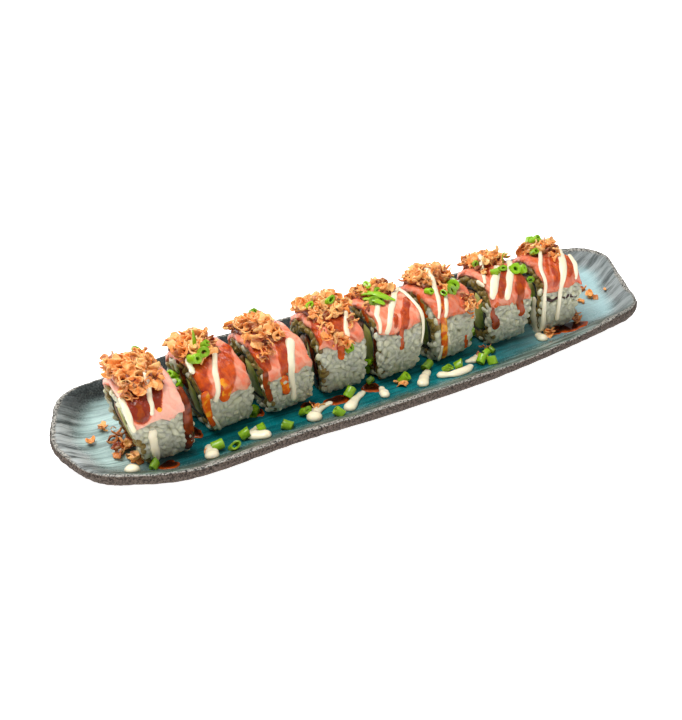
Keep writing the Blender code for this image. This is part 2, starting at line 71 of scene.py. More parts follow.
# Plate section from under the middle out to the rim, then over it and in to the floor: distance in from
# the rim in millimetres and height, in millimetres at the foot and as a share of the wall above the floor
FOOT_SECTION = ((40.0, 0.0), (22.0, 0.0), (15.0, 0.0), (13.0, 0.6), (9.5, 3.0), (6.0, 5.3), (3.6, 6.5),
                (2.0, 7.4))
WALL_SECTION = ((0.9, 0.32), (0.3, 0.42), (0.0, 0.58), (0.0, 0.76), (0.4, 0.89), (1.0, 0.97), (1.8, 1.0),
                (2.6, 0.98), (3.6, 0.93), (5.0, 0.84), (7.0, 0.66), (9.5, 0.43), (12.0, 0.24), (15.0, 0.1),
                (18.0, 0.03), (21.0, 0.0))
FLOOR_RINGS = (25.0, 29.0, 33.0, 37.0, 41.0)

# Roll section, across and up
ROLL_DEPTH = 35.0 * MM
ROLL_HEIGHT = 35.5 * MM
TOP_SQUARENESS = 2.35
BASE_SQUARENESS = 4.2
BELLY = 0.10
# How much shorter along the roll it is at the plate, and the height up to which it narrows
BASE_TAPER = 0.27
TAPER_HEIGHT = 26.0 * MM
CORE_DEPTH = 21.0 * MM
CORE_HEIGHT = 24.5 * MM
CORE_CENTRE = 17.8 * MM
NORI_THICKNESS = 0.8 * MM
# How a strip of filling rounds off at its end: distance in from the end in millimetres and share of its size
STRIP_END = ((-0.35, 0.0), (-0.3, 0.45), (-0.15, 0.8), (0.35, 0.965), (1.5, 1.0))
SALMON_THICKNESS = 3.2 * MM
SALMON_EDGE = 0.35
BACK_EDGE = 152.0

# Each roll: centre on the plate in millimetres, yaw, slice thickness in millimetres, lean to the left,
# the angle on the section where the salmon ends at the front, the share of the core that is avocado
ROLLS = (
    dict(at=(-132.6, -20.5), yaw=2.0, slice=26.5, lean=9.0, edge=18.0, avocado=0.50),
    dict(at=(-98.9, -10.8), yaw=9.0, slice=25.5, lean=8.0, edge=12.0, avocado=0.42),
    dict(at=(-66.8, -10.6), yaw=6.5, slice=26.0, lean=7.5, edge=16.0, avocado=0.55),
    dict(at=(-34.9, -8.6), yaw=0.0, slice=25.0, lean=2.5, edge=32.0, avocado=0.45),
    dict(at=(-3.3, -9.8), yaw=2.0, slice=25.5, lean=0.5, edge=33.0, avocado=0.48),
    dict(at=(30.4, -8.2), yaw=6.0, slice=26.0, lean=1.5, edge=25.0, avocado=0.55),
    dict(at=(67.0, -8.4), yaw=1.5, slice=26.0, lean=0.5, edge=22.0, avocado=0.45),
    dict(at=(101.6, -10.2), yaw=-5.0, slice=24.5, lean=-1.0, edge=28.0, avocado=0.50),
)

# Crisp onion heaps: angles on the section from front to back, reach along the roll in millimetres and
# height in millimetres
HEAPS = (
    dict(front=62.0, back=130.0, left=-12.0, right=9.0, height=8.5),
    dict(front=69.0, back=132.0, left=-12.0, right=6.5, height=5.5),
    dict(front=64.0, back=130.0, left=-12.0, right=5.0, height=6.0),
    dict(front=73.0, back=134.0, left=-11.5, right=11.5, height=5.5),
    dict(front=94.0, back=142.0, left=-11.0, right=8.5, height=5.0),
    dict(front=84.0, back=136.0, left=-11.0, right=11.0, height=7.0),
    dict(front=95.0, back=138.0, left=-9.0, right=12.0, height=5.5),
    dict(front=95.0, back=138.0, left=-7.0, right=10.0, height=6.0),
)
# Onion that lies lower on a roll than its heap: angle, place along the roll and spread in millimetres and
# how many flakes
ONION_PATCHES = {
    0: ((62.0, -9.5, 1.6, 8),),
    1: ((84.0, -11.0, 2.0, 6),),
    2: ((60.0, -7.0, 2.5, 8), (52.0, -10.5, 1.6, 5)),
    3: ((42.0, -5.0, 4.2, 16), (36.0, 0.5, 2.6, 8), (62.0, -8.0, 2.5, 6), (60.0, 8.0, 2.0, 5)),
    4: ((84.0, -11.5, 1.5, 4),),
    5: ((38.0, 9.0, 3.6, 22), (52.0, 8.5, 2.4, 7), (74.0, 1.0, 3.0, 6)),
    6: ((86.0, -9.0, 1.6, 4),),
    7: ((84.0, 3.0, 4.0, 7),),
}

# Scallion slices on each heap: angle on the section, place along the roll and across-size in millimetres
HEAP_SCALLIONS = (
    ((118.0, 6.0, 2.4),),
    ((71.0, -9.2, 2.5), (72.0, -4.5, 2.7), (78.0, -1.0, 1.8)),
    ((112.0, 2.0, 2.2),),
    ((89.0, 1.6, 2.4), (91.0, -9.0, 2.1), (26.0, 2.4, 2.5)),
    ((106.0, -5.1, 2.4), (89.0, -7.3, 2.6), (87.0, -4.5, 2.4), (96.0, -3.0, 2.2)),
    ((69.0, 2.8, 3.3), (76.0, 6.0, 3.1), (67.0, -3.3, 2.1), (78.0, -9.5, 2.4)),
    ((79.0, -3.1, 2.6), (83.0, 2.6, 2.3), (75.0, 8.6, 2.9), (71.0, 12.0, 2.4), (102.0, -8.5, 2.1),
     (80.0, 11.0, 2.2)),
    ((120.0, -2.4, 2.3), (98.0, -6.5, 2.4), (113.0, -1.2, 2.3)),
)

# Mayonnaise lines on each roll, each through knots: place along the roll in millimetres, angle on the
# section and half width in millimetres
MAYO_LINES = (
    (
        ((2.0, 75, 1.2), (-1.0, 53, 1.2), (-3.0, 34, 1.1)),
        ((-5.3, 5, 2.0), (-6.6, -4, 1.9), (-9.6, -49, 1.4)),
        ((-12.9, 62, 1.5), (-13.2, 42, 1.6), (-13.2, 17, 1.1)),
    ),
    (
        ((2.2, 73, 1.2), (-3.2, 49, 1.6), (-8.0, 11, 1.3)),
        ((-11.2, 75, 1.5), (-12.8, 61, 1.4)),
        ((-11.2, -4, 0.7), (-9.6, -46, 0.9)),
    ),
    (((6.5, 60, 2.2), (1.6, 33, 1.9), (1.0, 0, 1.4), (0.7, -14, 1.6)),),
    (((7.5, 75, 1.1), (3.8, 55, 1.4), (2.8, 39, 1.0)),),
    (
        ((-4.1, 92, 1.6), (-10.8, 65, 1.5), (-12.8, 39, 0.8)),
        ((12.8, 107, 1.9), (-1.3, 70, 1.7), (-8.9, 36, 1.3)),
        ((12.8, 101, 1.4), (12.8, 75, 1.1), (12.8, 50, 1.1), (12.8, 28, 0.8), (11.8, 2, 0.6)),
    ),
    (
        ((3.2, 124, 1.3), (-3.6, 89, 1.5), (-7.5, 64, 1.2), (-12.7, 35, 0.7)),
        ((-2.0, 67, 1.1), (-5.9, 48, 1.3), (-8.1, 34, 0.9)),
        ((-10.7, -5, 0.8), (-12.4, -26, 1.1), (-12.0, -49, 0.7)),
        ((-6.8, 5, 0.7), (-4.9, -5, 0.8)),
    ),
    (
        ((1.6, 123, 1.4), (-7.5, 90, 1.2), (-13.0, 68, 0.8)),
        ((2.3, 90, 2.0), (-7.5, 65, 2.3), (-13.0, 43, 1.9)),
        ((13.0, 95, 1.7), (1.6, 61, 2.1), (-4.5, 36, 1.8)),
    ),
    (
        ((3.4, 120, 1.0), (-10.7, 69, 1.1), (-12.2, 28, 1.0), (-12.2, -1, 1.3), (-11.6, -41, 1.9)),
        ((8.9, 96, 1.7), (2.4, 60, 2.3), (-1.8, 35, 1.3), (-1.8, 7, 1.2), (-1.8, -13, 1.3)),
        ((12.2, 83, 1.1), (10.7, 63, 1.3), (8.0, 40, 0.9)),
    ),
)

# Glaze that colours the salmon in runs through knots: place along the roll in millimetres, angle on the
# section and half width in millimetres
GLAZE_RUNS = (
    (((1.0, 99, 3.6), (-4.0, 66, 5.4), (-8.0, 40, 5.0)), ((6.6, 90, 1.8), (3.6, 59, 2.6), (0.6, 41, 1.8))),
    (
        ((-1.3, 84, 3.3), (-10.2, 57, 4.1), (-12.8, 30, 4.1), (-12.8, 2, 2.3)),
        ((10.2, 80, 2.4), (3.5, 51, 4.2), (-2.6, 18, 3.7)),
    ),
    (
        ((8.8, 107, 2.0), (3.2, 67, 3.1), (-1.6, 36, 3.1), (-2.9, 0, 2.6)),
        ((-9.8, 71, 2.4), (-11.1, 51, 3.8), (-11.1, 39, 2.3)),
        ((-13.0, 78, 0.9), (-13.0, 50, 0.9), (-13.0, 24, 1.2)),
    ),
    (
        ((2.2, 76, 3.0), (-1.3, 49, 2.7), (-1.3, 25, 2.2)),
        ((-8.8, 78, 3.0), (-12.5, 65, 2.0), (-12.5, 47, 1.7)),
        ((-2.5, 76, 3.0), (-4.1, 62, 1.5)),
    ),
    (((10.8, 79, 1.5), (3.8, 54, 2.3), (1.0, 32, 2.3)), ((-1.6, 55, 1.5), (-3.5, 41, 1.0))),
    (((-1.0, 79, 1.3), (-6.8, 59, 1.5), (-10.1, 45, 1.3)),),
    (
        ((6.2, 86, 1.9), (-3.9, 58, 2.1), (-8.1, 43, 2.1)),
        ((10.4, 66, 3.0), (4.9, 41, 2.9)),
        ((1.6, 111, 0.8), (-8.1, 80, 1.1)),
    ),
    (
        ((3.7, 89, 2.2), (-2.8, 60, 2.5), (-5.2, 39, 1.9)),
        ((11.3, 81, 2.8), (5.8, 58, 2.7), (3.7, 49, 1.6)),
        ((-1.8, 88, 0.8), (-8.3, 56, 0.8)),
    ),
)
# Glaze that ran on down the rice: how dark it is, then knots as above
GLAZE_DRIPS = (
    (
        (0.72, (13.2, 54, 1.3), (13.2, 31, 2.0), (11.6, 0, 2.3), (10.9, -29, 1.8)),
        (0.6, (-5.6, 55, 3.1), (-8.9, 35, 2.8)),
        (0.02, (4.4, 62, 0.9), (1.8, 47, 1.4), (0.4, 36, 1.3)),
    ),
    ((0.16, (-12.8, 24, 2.7), (-12.8, 0, 1.9), (-12.8, -16, 1.4)), (0.1, (-1.6, 30, 3.2), (-2.9, 8, 2.8))),
    ((0.14, (-2.9, 10, 2.4), (-3.2, -2, 2.2)), (0.6, (-13.0, 29, 1.5), (-13.0, 5, 1.7), (-13.0, -4, 1.4))),
    ((0.2, (-1.3, 32, 2.2), (-1.9, 15, 2.0)),),
    ((0.3, (0.3, 38, 1.8), (-0.3, 22, 1.1), (-0.3, 3, 1.3)), (0.8, (-2.2, 31, 0.9), (-3.5, 19, 0.7))),
    (
        (0.08, (-2.0, 76, 1.3), (-9.6, 45, 1.6), (-8.8, 10, 2.3), (-8.5, -3, 2.3), (-7.2, -49, 1.5)),
        (0.3, (7.2, -4, 1.2), (10.4, -27, 1.1)),
    ),
    (
        (0.24, (-6.5, 49, 1.7), (-10.1, 39, 1.8), (-11.1, 27, 1.2)),
        (0.45, (6.5, 50, 2.6), (4.6, 25, 2.8), (6.8, 2, 2.3)),
        (0.55, (-13.0, 22, 1.1), (-13.0, 10, 1.6), (-10.7, -1, 2.5)),
    ),
    (
        (1.0, (-10.5, 13, 0.8), (-7.0, 9, 1.1), (-3.5, 12, 0.7)),
        (1.0, (-1.5, 8, 0.7), (3.5, 11, 1.1), (9.5, 8, 0.8)),
    ),
)
# How glazed each slice of salmon is between its runs of glaze, below 0 for a paler slice, and how deep
# the glaze lies where it runs
SALMON_FILMS = (-0.5, 0.05, -0.1, 0.1, 0.0, 0.45, 0.3, 0.55)
GLAZE_DEPTHS = (1.9, 0.95, 1.35, 1.3, 1.3, 1.3, 1.5, 1.2)
# What ran over the cut faces at the rolls' left ends: its kind and how dark it is, then knots: across and
# up the face and half width in millimetres
FACE_RUNS = (
    (),
    (("glaze", 0.75, (1.5, 36.0, 1.4), (-1.5, 23.5, 2.4)),),
    (),
    (("glaze", 0.85, (-2.5, 30.5, 1.2), (-7.0, 24.5, 2.0), (-9.0, 15.0, 2.8), (-4.0, 0.0, 2.8)),),
    (
        ("glaze", 0.45, (-0.5, 36.0, 1.2), (-5.0, 33.0, 1.8)),
        ("glaze", 0.8, (-12.5, 30.5, 1.2), (-12.0, 18.5, 1.4), (-7.5, 0.0, 1.1)),
    ),
    (("glaze", 0.35, (-2.0, 36.0, 1.6), (-8.5, 27.5, 1.6)),),
    (("mayo", 0, (-4.0, 36.0, 1.4), (-8.5, 36.0, 1.1)),),
    (("mayo", 0, (-9.5, 19.0, 1.7), (-9.5, 7.5, 2.5), (-11.5, 0.0, 3.0)),),
)

# Mayonnaise that fell on the plate: the middle line of each strand in millimetres and its half width,
# then the scallion slices stuck to it
MAYO_STRANDS = (
    dict(line=((-150.5, -33), (-151.2, -38), (-152.6, -42)), size=(2.4, 2.8, 3.6), greens=()),
    dict(line=((-113.5, -36), (-114, -40), (-115.5, -44)), size=(2.4, 3.0, 3.8), greens=((-110.5, -39),)),
    dict(line=((-87, -31.5), (-90.5, -34), (-92, -37.5), (-87, -40.5)), size=(1.6, 2.2, 3.4, 3.4),
         greens=((-86.5, -35.5), (-95.5, -36.5))),
    dict(line=((-46, -29.5), (-53, -31.5), (-58, -34.5), (-59.5, -38.3)), size=(1.4, 2.0, 2.8, 3.8),
         greens=((-62, -33),)),
    dict(line=((-27, -29.3), (-33.5, -33), (-40, -39)), size=(1.5, 2.1, 3.4), greens=((-34.5, -29),)),
    dict(line=((-16.6, -30.6), (-18.5, -37)), size=(1.7, 2.8), greens=()),
    dict(line=((12.3, -28.8), (8, -32.5), (4, -37.5)), size=(2.0, 2.4, 3.2), greens=((14, -26),)),
    dict(line=((17, -35), (24, -38.5), (31, -37.8), (35.5, -35)), size=(2.2, 2.6, 2.4, 2.0),
         greens=((22, -33.5), (29, -33))),
    dict(line=((45.5, -28.4), (41, -30.6), (37.5, -29.8)), size=(1.9, 2.2, 1.6),
         greens=((49, -30), (43, -34.5))),
    dict(line=((88, -26.5), (87.5, -30.5)), size=(2.4, 2.8), greens=()),
)
# What lies loose on the plate, in millimetres, and how many onion flakes lie together
PLATE_SCALLIONS = (
    (-141.5, -39.5), (-104, -43.5), (-74.5, -39), (-48, -42.5), (-3, -30), (54.5, -27.5), (47.5, -37.5),
    (-117, 24), (-83.5, -20), (-18.8, -22.5), (17, 24), (49.5, -12), (86.5, -7),
)
PLATE_FLAKES = (
    (-152, 2, 5), (-148, -8.6, 6), (-147.3, -17, 8), (-152.5, -20, 5), (-147.5, -28.5, 6), (-161, -5.5, 1),
    (-115.5, -38.5, 1), (-55, -30.6, 5), (-7.6, -29.9, 3), (53, -24.5, 4), (45, -30.5, 3), (94.1, -28.5, 5),
    (117, -24, 4), (122, -17, 3), (135, -4.7, 3), (144.1, 5.3, 3), (144.7, -4.1, 4), (154.7, -5.2, 1),
)
# Puddles of glaze on the plate: middle, reach along and across in millimetres
PUDDLES = ((-134.5, -39.5, 5.0, 4.2), (-115, -20, 4.0, 6.0), (-41, -28.4, 7.0, 4.0), (-20, -27, 5.0, 4.5),
           (110, -26.5, 12.5, 6.0), (-81, -19, 3.0, 4.0), (98, -27, 4.5, 3.0), (-56, -27, 4.5, 4.0))

# Rolls, counted from 0, whose onion is cut in finer shreds
SHREDDED = (4, 5, 6, 7)
# Share of the rice at each roll's left end that is coloured brown: partly sauce stain, partly painted shade
# where the cut face lies in the gap between rolls
LEFT_SAUCE_AND_SHADE = (0.30, 0.75, 0.75, 0.85, 0.80, 0.55, 0.80, 0.65)

# Scallion slices at the rolls' left ends: across and up the face and across-size in millimetres
FACE_SCALLIONS = {
    1: ((7.0, 26.0, 2.6), (3.0, 23.5, 2.9), (6.0, 20.5, 2.4)),
    2: ((8.5, 23.0, 2.3), (5.0, 20.5, 2.2)),
    3: ((7.5, 3.0, 2.3),),
    4: ((-3.0, 2.4, 2.6), (-5.5, 8.0, 2.2)),
    6: ((0.0, 3.0, 2.6),),
    7: ((-6.0, 19.0, 2.4), (-6.0, 30.5, 2.2)),
}
# Long slivers of scallion, through knots: place along the roll in millimetres, angle on the section, height
# over the rice and half width in millimetres
SLIVERS = {
    1: (((-4.4, 84, 3.5, 1.5), (-4.2, 86, 9.5, 1.5), (-3.2, 88, 15.5, 0.5)),),
    4: (
        ((-8.6, 110, 7.0, 1.8), (-4.6, 93, 7.6, 2.1), (2.6, 78, 5.2, 0.6)),
        ((-9.6, 103, 6.6, 1.5), (-5.8, 90, 8.4, 2.0), (-1.2, 80, 6.6, 1.0)),
        ((-10.0, 94, 5.4, 1.4), (-7.4, 85, 6.4, 1.8), (-4.2, 78, 5.0, 1.1)),
    ),
    6: (((7.4, 92, 4.0, 0.4), (6.6, 93, 8.5, 0.4), (8.6, 94, 11.0, 0.4), (10.0, 93, 7.0, 0.4)),),
}

# Camera, as fitted to the photo: the row runs up to the right and the plate's front edge is nearest
VIEW_TURN = 29.0
VIEW_ELEVATION = 31.0
VIEW_DISTANCE = 0.5405
VIEW_CENTRE = (-0.019, 0.008, 0.004)
LENS = 50.0


def ease(low, high, value):
    """0 below low, 1 above high and a smooth rise between, for numbers and arrays."""
    share = np.clip((np.asarray(value, dtype=float) - low) / (high - low), 0.0, 1.0)
    return share * share * (3.0 - 2.0 * share)


def closed_curve(corners, steps):
    """Points of a smooth closed curve through the corners."""
    count = len(corners)
    curve = []
    for place in range(count):
        before, start, end, after = (Vector(corners[(place + shift) % count]) for shift in (-1, 0, 1, 2))
        for step in range(steps):
            t = step / steps
            curve.append(0.5 * (2 * start + (end - before) * t
                                + (2 * before - 5 * start + 4 * end - after) * t * t
                                + (3 * start - before - 3 * end + after) * t ** 3))
    return curve


def rounded_square(turn, depth, height):
    """Across and up on a rounded square section, for an array of angles."""
    angle = np.radians(turn)
    across = -np.cos(angle)
    up = np.sin(angle)
    power = np.where(up > 0, 2.0 / TOP_SQUARENESS, 2.0 / BASE_SQUARENESS)
    y = np.sign(across) * np.abs(across) ** power * depth / 2
    z = np.sign(up) * np.abs(up) ** power * height / 2
    return y, z


def skin(turn, out=0.0):
    """Places across and up on the outside of the rice or out from it, and the outward directions there."""
    turn = np.asarray(turn, dtype=float)

    def on_skin(angle):
        y, z = rounded_square(angle, ROLL_DEPTH, ROLL_HEIGHT)
        return np.stack([y * (1.0 + BELLY * z / ROLL_HEIGHT), z + ROLL_HEIGHT / 2], -1)

    along = on_skin(turn + 1.0) - on_skin(turn - 1.0)
    normal = np.stack([-along[..., 1], along[..., 0]], -1)
    normal /= np.linalg.norm(normal, axis=-1, keepdims=True)
    return on_skin(turn) + normal * np.asarray(out)[..., None], normal


def core(turn, out=0.0):
    """Places across and up on the wrapped core."""
    y, z = rounded_square(np.asarray(turn, dtype=float), CORE_DEPTH + 2 * out, CORE_HEIGHT + 2 * out)
    return np.stack([y, z + CORE_CENTRE], -1)


SKIN_TURNS = np.linspace(0.0, 360.0, 1441)
SKIN_RUN = np.concatenate([[0.0], np.cumsum(np.linalg.norm(np.diff(skin(SKIN_TURNS)[0], axis=0), axis=1))])


def turn_at(run):
    """The angle on the skin at a distance run along it from the front, upwards."""
    return np.interp(np.mod(run, SKIN_RUN[-1]), SKIN_RUN, SKIN_TURNS)


def run_at(turn):
    """The distance along the skin at an angle, which may be below 0."""
    turn = np.asarray(turn, dtype=float)
    return np.interp(np.mod(turn, 360.0), SKIN_TURNS, SKIN_RUN) - np.where(turn < 0, SKIN_RUN[-1], 0.0)


def salmon_out(roll, turn):
    """How far the salmon's outside stands off the rice: full in the middle, thin at its two edges."""
    rise = ease(roll["edge"] - 2, roll["edge"] + 16, turn) * (1 - ease(BACK_EDGE - 16, BACK_EDGE + 2, turn))
    return GAP + SALMON_THICKNESS * (SALMON_EDGE + (1 - SALMON_EDGE) * rise)


def heap_out(roll, heap, turn, along):
    """How far the top of the bare onion heap stands off the rice."""
    middle = (heap["front"] + heap["back"]) / 2
    reach = (heap["back"] - heap["front"]) / 2
    centre = (heap["left"] + heap["right"]) / 2 * MM
    width = (heap["right"] - heap["left"]) / 2 * MM
    far = np.minimum(1.0, ((turn - middle) / reach) ** 4 + ((along - centre) / width) ** 4)
    bare = salmon_out(roll, turn) + GAP + 0.25 * MM
    return bare + 0.9 * MM + (heap["height"] * MM * 0.62 - 0.9 * MM) * (1 - far) ** 0.5


def topping_out(number, turn, along):
    """How far whatever lies uppermost stands off the rice, smoothed: rice, salmon or heap."""
    roll = ROLLS[number]
    heap = HEAPS[number]
    on_salmon = ease(roll["edge"] - 10, roll["edge"] + 4, turn)
    on_salmon = on_salmon * (1 - ease(BACK_EDGE - 4, BACK_EDGE + 8, turn))
    out = 0.7 * MM + on_salmon * (salmon_out(roll, turn) - 0.7 * MM)
    on_heap = ease(heap["front"] - 8, heap["front"] + 10, turn)
    on_heap = on_heap * (1 - ease(heap["back"] - 10, heap["back"] + 8, turn))
    on_heap = on_heap * ease(heap["left"] * MM - 2 * MM, heap["left"] * MM + 3 * MM, along)
    on_heap = on_heap * (1 - ease(heap["right"] * MM - 3 * MM, heap["right"] * MM + 2 * MM, along))
    high = heap_out(roll, heap, turn, along) + 1.4 * MM
    return out + on_heap * np.maximum(high - out, 0.0)


def roll_matrix(roll):
    """Leans a roll's piece, turns it and sets it on the plate floor."""
    shear = Matrix.Identity(4)
    shear[0][2] = -math.tan(math.radians(roll["lean"]))
    turn = Matrix.Rotation(math.radians(roll["yaw"]), 4, "Z")
    x, y = roll["at"]
    place = Matrix.Translation((x * MM, y * MM, FLOOR_HEIGHT + GAP))
    return place @ turn @ shear


def narrowing(height):
    """How much of its length a roll keeps at a height over the plate."""
    return 1.0 - BASE_TAPER * np.maximum(0.0, 1.0 - height / TAPER_HEIGHT) ** 2


def in_roll(along, places):
    """Points in a roll's own space from places along it and places across and up."""
    along = np.broadcast_to(np.asarray(along, dtype=float), places.shape[:-1])
    height = np.maximum(places[..., 1:], 0.0)
    return np.concatenate([along[..., None] * narrowing(height), places[..., :1], height], -1)


def noise_table(draw, size):
    """A seeded table of values between -1 and 1 for smooth unevenness."""
    return np.array([draw.uniform(-1.0, 1.0) for _ in range(size)])


def wobble(table, value):
    """Smooth noise along one coordinate, read from a seeded table."""
    value = np.asarray(value, dtype=float)
    low = np.floor(value).astype(int)
    share = value - low
    share = share * share * (3 - 2 * share)
    return table[low % len(table)] * (1 - share) + table[(low + 1) % len(table)] * share


def mesh_object(name, points, faces, material, smooth=True):
    """A mesh object at the origin with its faces turned outwards."""
    mesh = bpy.data.meshes.new(name)
    mesh.from_pydata([tuple(point) for point in points], [], [tuple(face) for face in faces])
    thing = bpy.data.objects.new(name, mesh)
    bpy.context.scene.collection.objects.link(thing)
    only(thing)
    bpy.ops.object.mode_set(mode="EDIT")
    bpy.ops.mesh.select_all(action="SELECT")
    bpy.ops.mesh.normals_make_consistent(inside=False)
    bpy.ops.object.mode_set(mode="OBJECT")
    if smooth:
        bpy.ops.object.shade_smooth()
    if material:
        mesh.materials.append(material)
    return thing


def only(thing):
    """Selects one object alone and makes it active."""
    for other in bpy.context.selected_objects:
        other.select_set(False)
    thing.select_set(True)
    bpy.context.view_layer.objects.active = thing


def add_modifier(thing, kind, **settings):
    """Adds a modifier with these settings and applies it."""
    only(thing)
    modifier = thing.modifiers.new(kind.lower(), kind)
    for key, value in settings.items():
        setattr(modifier, key, value)
    bpy.ops.object.modifier_apply(modifier=modifier.name)
    return thing


def place_in_row(thing, roll):
    """Moves a piece from its roll's own space to its place in the row."""
    thing.data.transform(roll_matrix(roll))
    thing.data.update()
    return thing


def grid_faces(rows, columns, wrap=False, start=0):
    """Quads over a grid of points, closed in the column direction if wrapped."""
    faces = []
    for row in range(rows - 1):
        for column in range(columns if wrap else columns - 1):
            after = (column + 1) % columns
            faces.append((start + row * columns + column, start + row * columns + after,
                          start + (row + 1) * columns + after, start + (row + 1) * columns + column))
    return faces


def thick_sheet(outer, inner):
    """Points and faces of a closed sheet from the rows of its outer and its inner side."""
    rows, columns = len(outer), len(outer[0])
    lower = rows * columns
    faces = grid_faces(rows, columns)
    faces += [tuple(lower + corner for corner in reversed(face)) for face in grid_faces(rows, columns)]
    edge = list(range(columns))
    edge += [row * columns + columns - 1 for row in range(1, rows)]
    edge += [(rows - 1) * columns + column for column in range(columns - 2, -1, -1)]
    edge += [row * columns for row in range(rows - 2, 0, -1)]
    faces += [(a, lower + a, lower + b, b) for a, b in zip(edge, edge[1:] + edge[:1])]
    return np.concatenate(outer + inner), faces


def tube(middles, ups, half_widths, half_heights, sides=12):
    """Points and faces of a soft strand along middles, flattened against what it lies on, with round ends."""
    middles = np.asarray(middles, dtype=float)
    ups = np.asarray(ups, dtype=float)
    forward = np.gradient(middles, axis=0)
    forward /= np.linalg.norm(forward, axis=1, keepdims=True)
    across = np.cross(forward, ups)
    across /= np.linalg.norm(across, axis=1, keepdims=True)
    ups = np.cross(across, forward)
    rings = []
    last = len(middles) - 1
    for place in range(len(middles)):
        caps = [(0.0, 1.0)]
        if place == 0:
            caps = [(-0.96, 0.25), (-0.78, 0.62), (-0.42, 0.9), (0.0, 1.0)]
        if place == last:
            caps = [(0.0, 1.0), (0.42, 0.9), (0.78, 0.62), (0.96, 0.25)]
        for shift, scale in caps:
            centre = middles[place] + forward[place] * shift * half_widths[place]
            angles = np.arange(sides) * math.tau / sides
            ring = (centre + np.outer(np.cos(angles), across[place]) * half_widths[place] * scale
                    + np.outer(np.sin(angles), ups[place]) * half_heights[place] * scale)
            rings.append(ring)
    points = np.concatenate(rings)
    faces = grid_faces(len(rings), sides, wrap=True)
    faces.append(tuple(reversed(range(sides))))
    faces.append(tuple(range(len(points) - sides, len(points))))
    return points, faces


def merge_shapes(shapes):
    """Joins several shapes of points and faces into one."""
    points = []
    faces = []
    start = 0
    for shape_points, shape_faces in shapes:
        points.append(np.asarray(shape_points))
        faces += [tuple(corner + start for corner in face) for face in shape_faces]
        start += len(shape_points)
    return np.concatenate(points), faces


def scatter(name, shapes, places, tints, material):
    """One joined mesh of many copies: places holds (shape number, matrix) and tints one value a copy."""
    points = []
    corners = []
    totals = []
    values = []
    start = 0
    prepared = []
    for shape_points, shape_faces in shapes:
        flat = np.array([corner for face in shape_faces for corner in face], dtype=np.int32)
        sizes = np.array([len(face) for face in shape_faces], dtype=np.int32)
        prepared.append((np.asarray(shape_points, dtype=float), flat, sizes))
    for (which, matrix), tint in zip(places, tints):
        shape_points, flat, sizes = prepared[which]
        matrix = np.asarray(matrix)
        points.append(shape_points @ matrix[:3, :3].T + matrix[:3, 3])
        corners.append(flat + start)
        totals.append(sizes)
        values.append(np.full(len(shape_points), tint))
        start += len(shape_points)
    points = np.concatenate(points).astype(np.float32)
    corners = np.concatenate(corners)
    totals = np.concatenate(totals)
    mesh = bpy.data.meshes.new(name)
    mesh.vertices.add(len(points))
    mesh.vertices.foreach_set("co", points.ravel())
    mesh.loops.add(len(corners))
    mesh.loops.foreach_set("vertex_index", corners)
    mesh.polygons.add(len(totals))
    mesh.polygons.foreach_set("loop_start", np.concatenate([[0], np.cumsum(totals)[:-1]]).astype(np.int32))
    mesh.polygons.foreach_set("loop_total", totals)
    mesh.polygons.foreach_set("use_smooth", np.ones(len(totals), dtype=bool))
    mesh.update(calc_edges=True)
    attribute = mesh.attributes.new("tint", "FLOAT", "POINT")
    attribute.data.foreach_set("value", np.concatenate(values).astype(np.float32))
    mesh.materials.append(material)
    thing = bpy.data.objects.new(name, mesh)
    bpy.context.scene.collection.objects.link(thing)
    return thing


def take_shape(thing):
    """Points and faces of a modelled template, which is then removed."""
    mesh = thing.data
    points = np.array([vert.co[:] for vert in mesh.vertices])
    faces = [tuple(polygon.vertices) for polygon in mesh.polygons]
    bpy.data.objects.remove(thing)
    bpy.data.meshes.remove(mesh)
    return points, faces


def set_attribute(thing, name, values):
    """Stores one number a point for the material to read."""
    attribute = thing.data.attributes.new(name, "FLOAT", "POINT")
    attribute.data.foreach_set("value", np.asarray(values, dtype=np.float32))


def finish_piece(thing, slot, *nodes):
    """Rides the piece on the body and hides the solids it stands for."""
    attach(thing, "root")
    if nodes:
        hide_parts(*nodes)
    return thing


def palette():
    """The colours that the panel holds."""
    return bpy.context.scene.uramaki_colours


def shade(color, share):
    """A darker or lighter version of a colour."""
    return tuple(min(1.0, value * share) for value in color[:3])


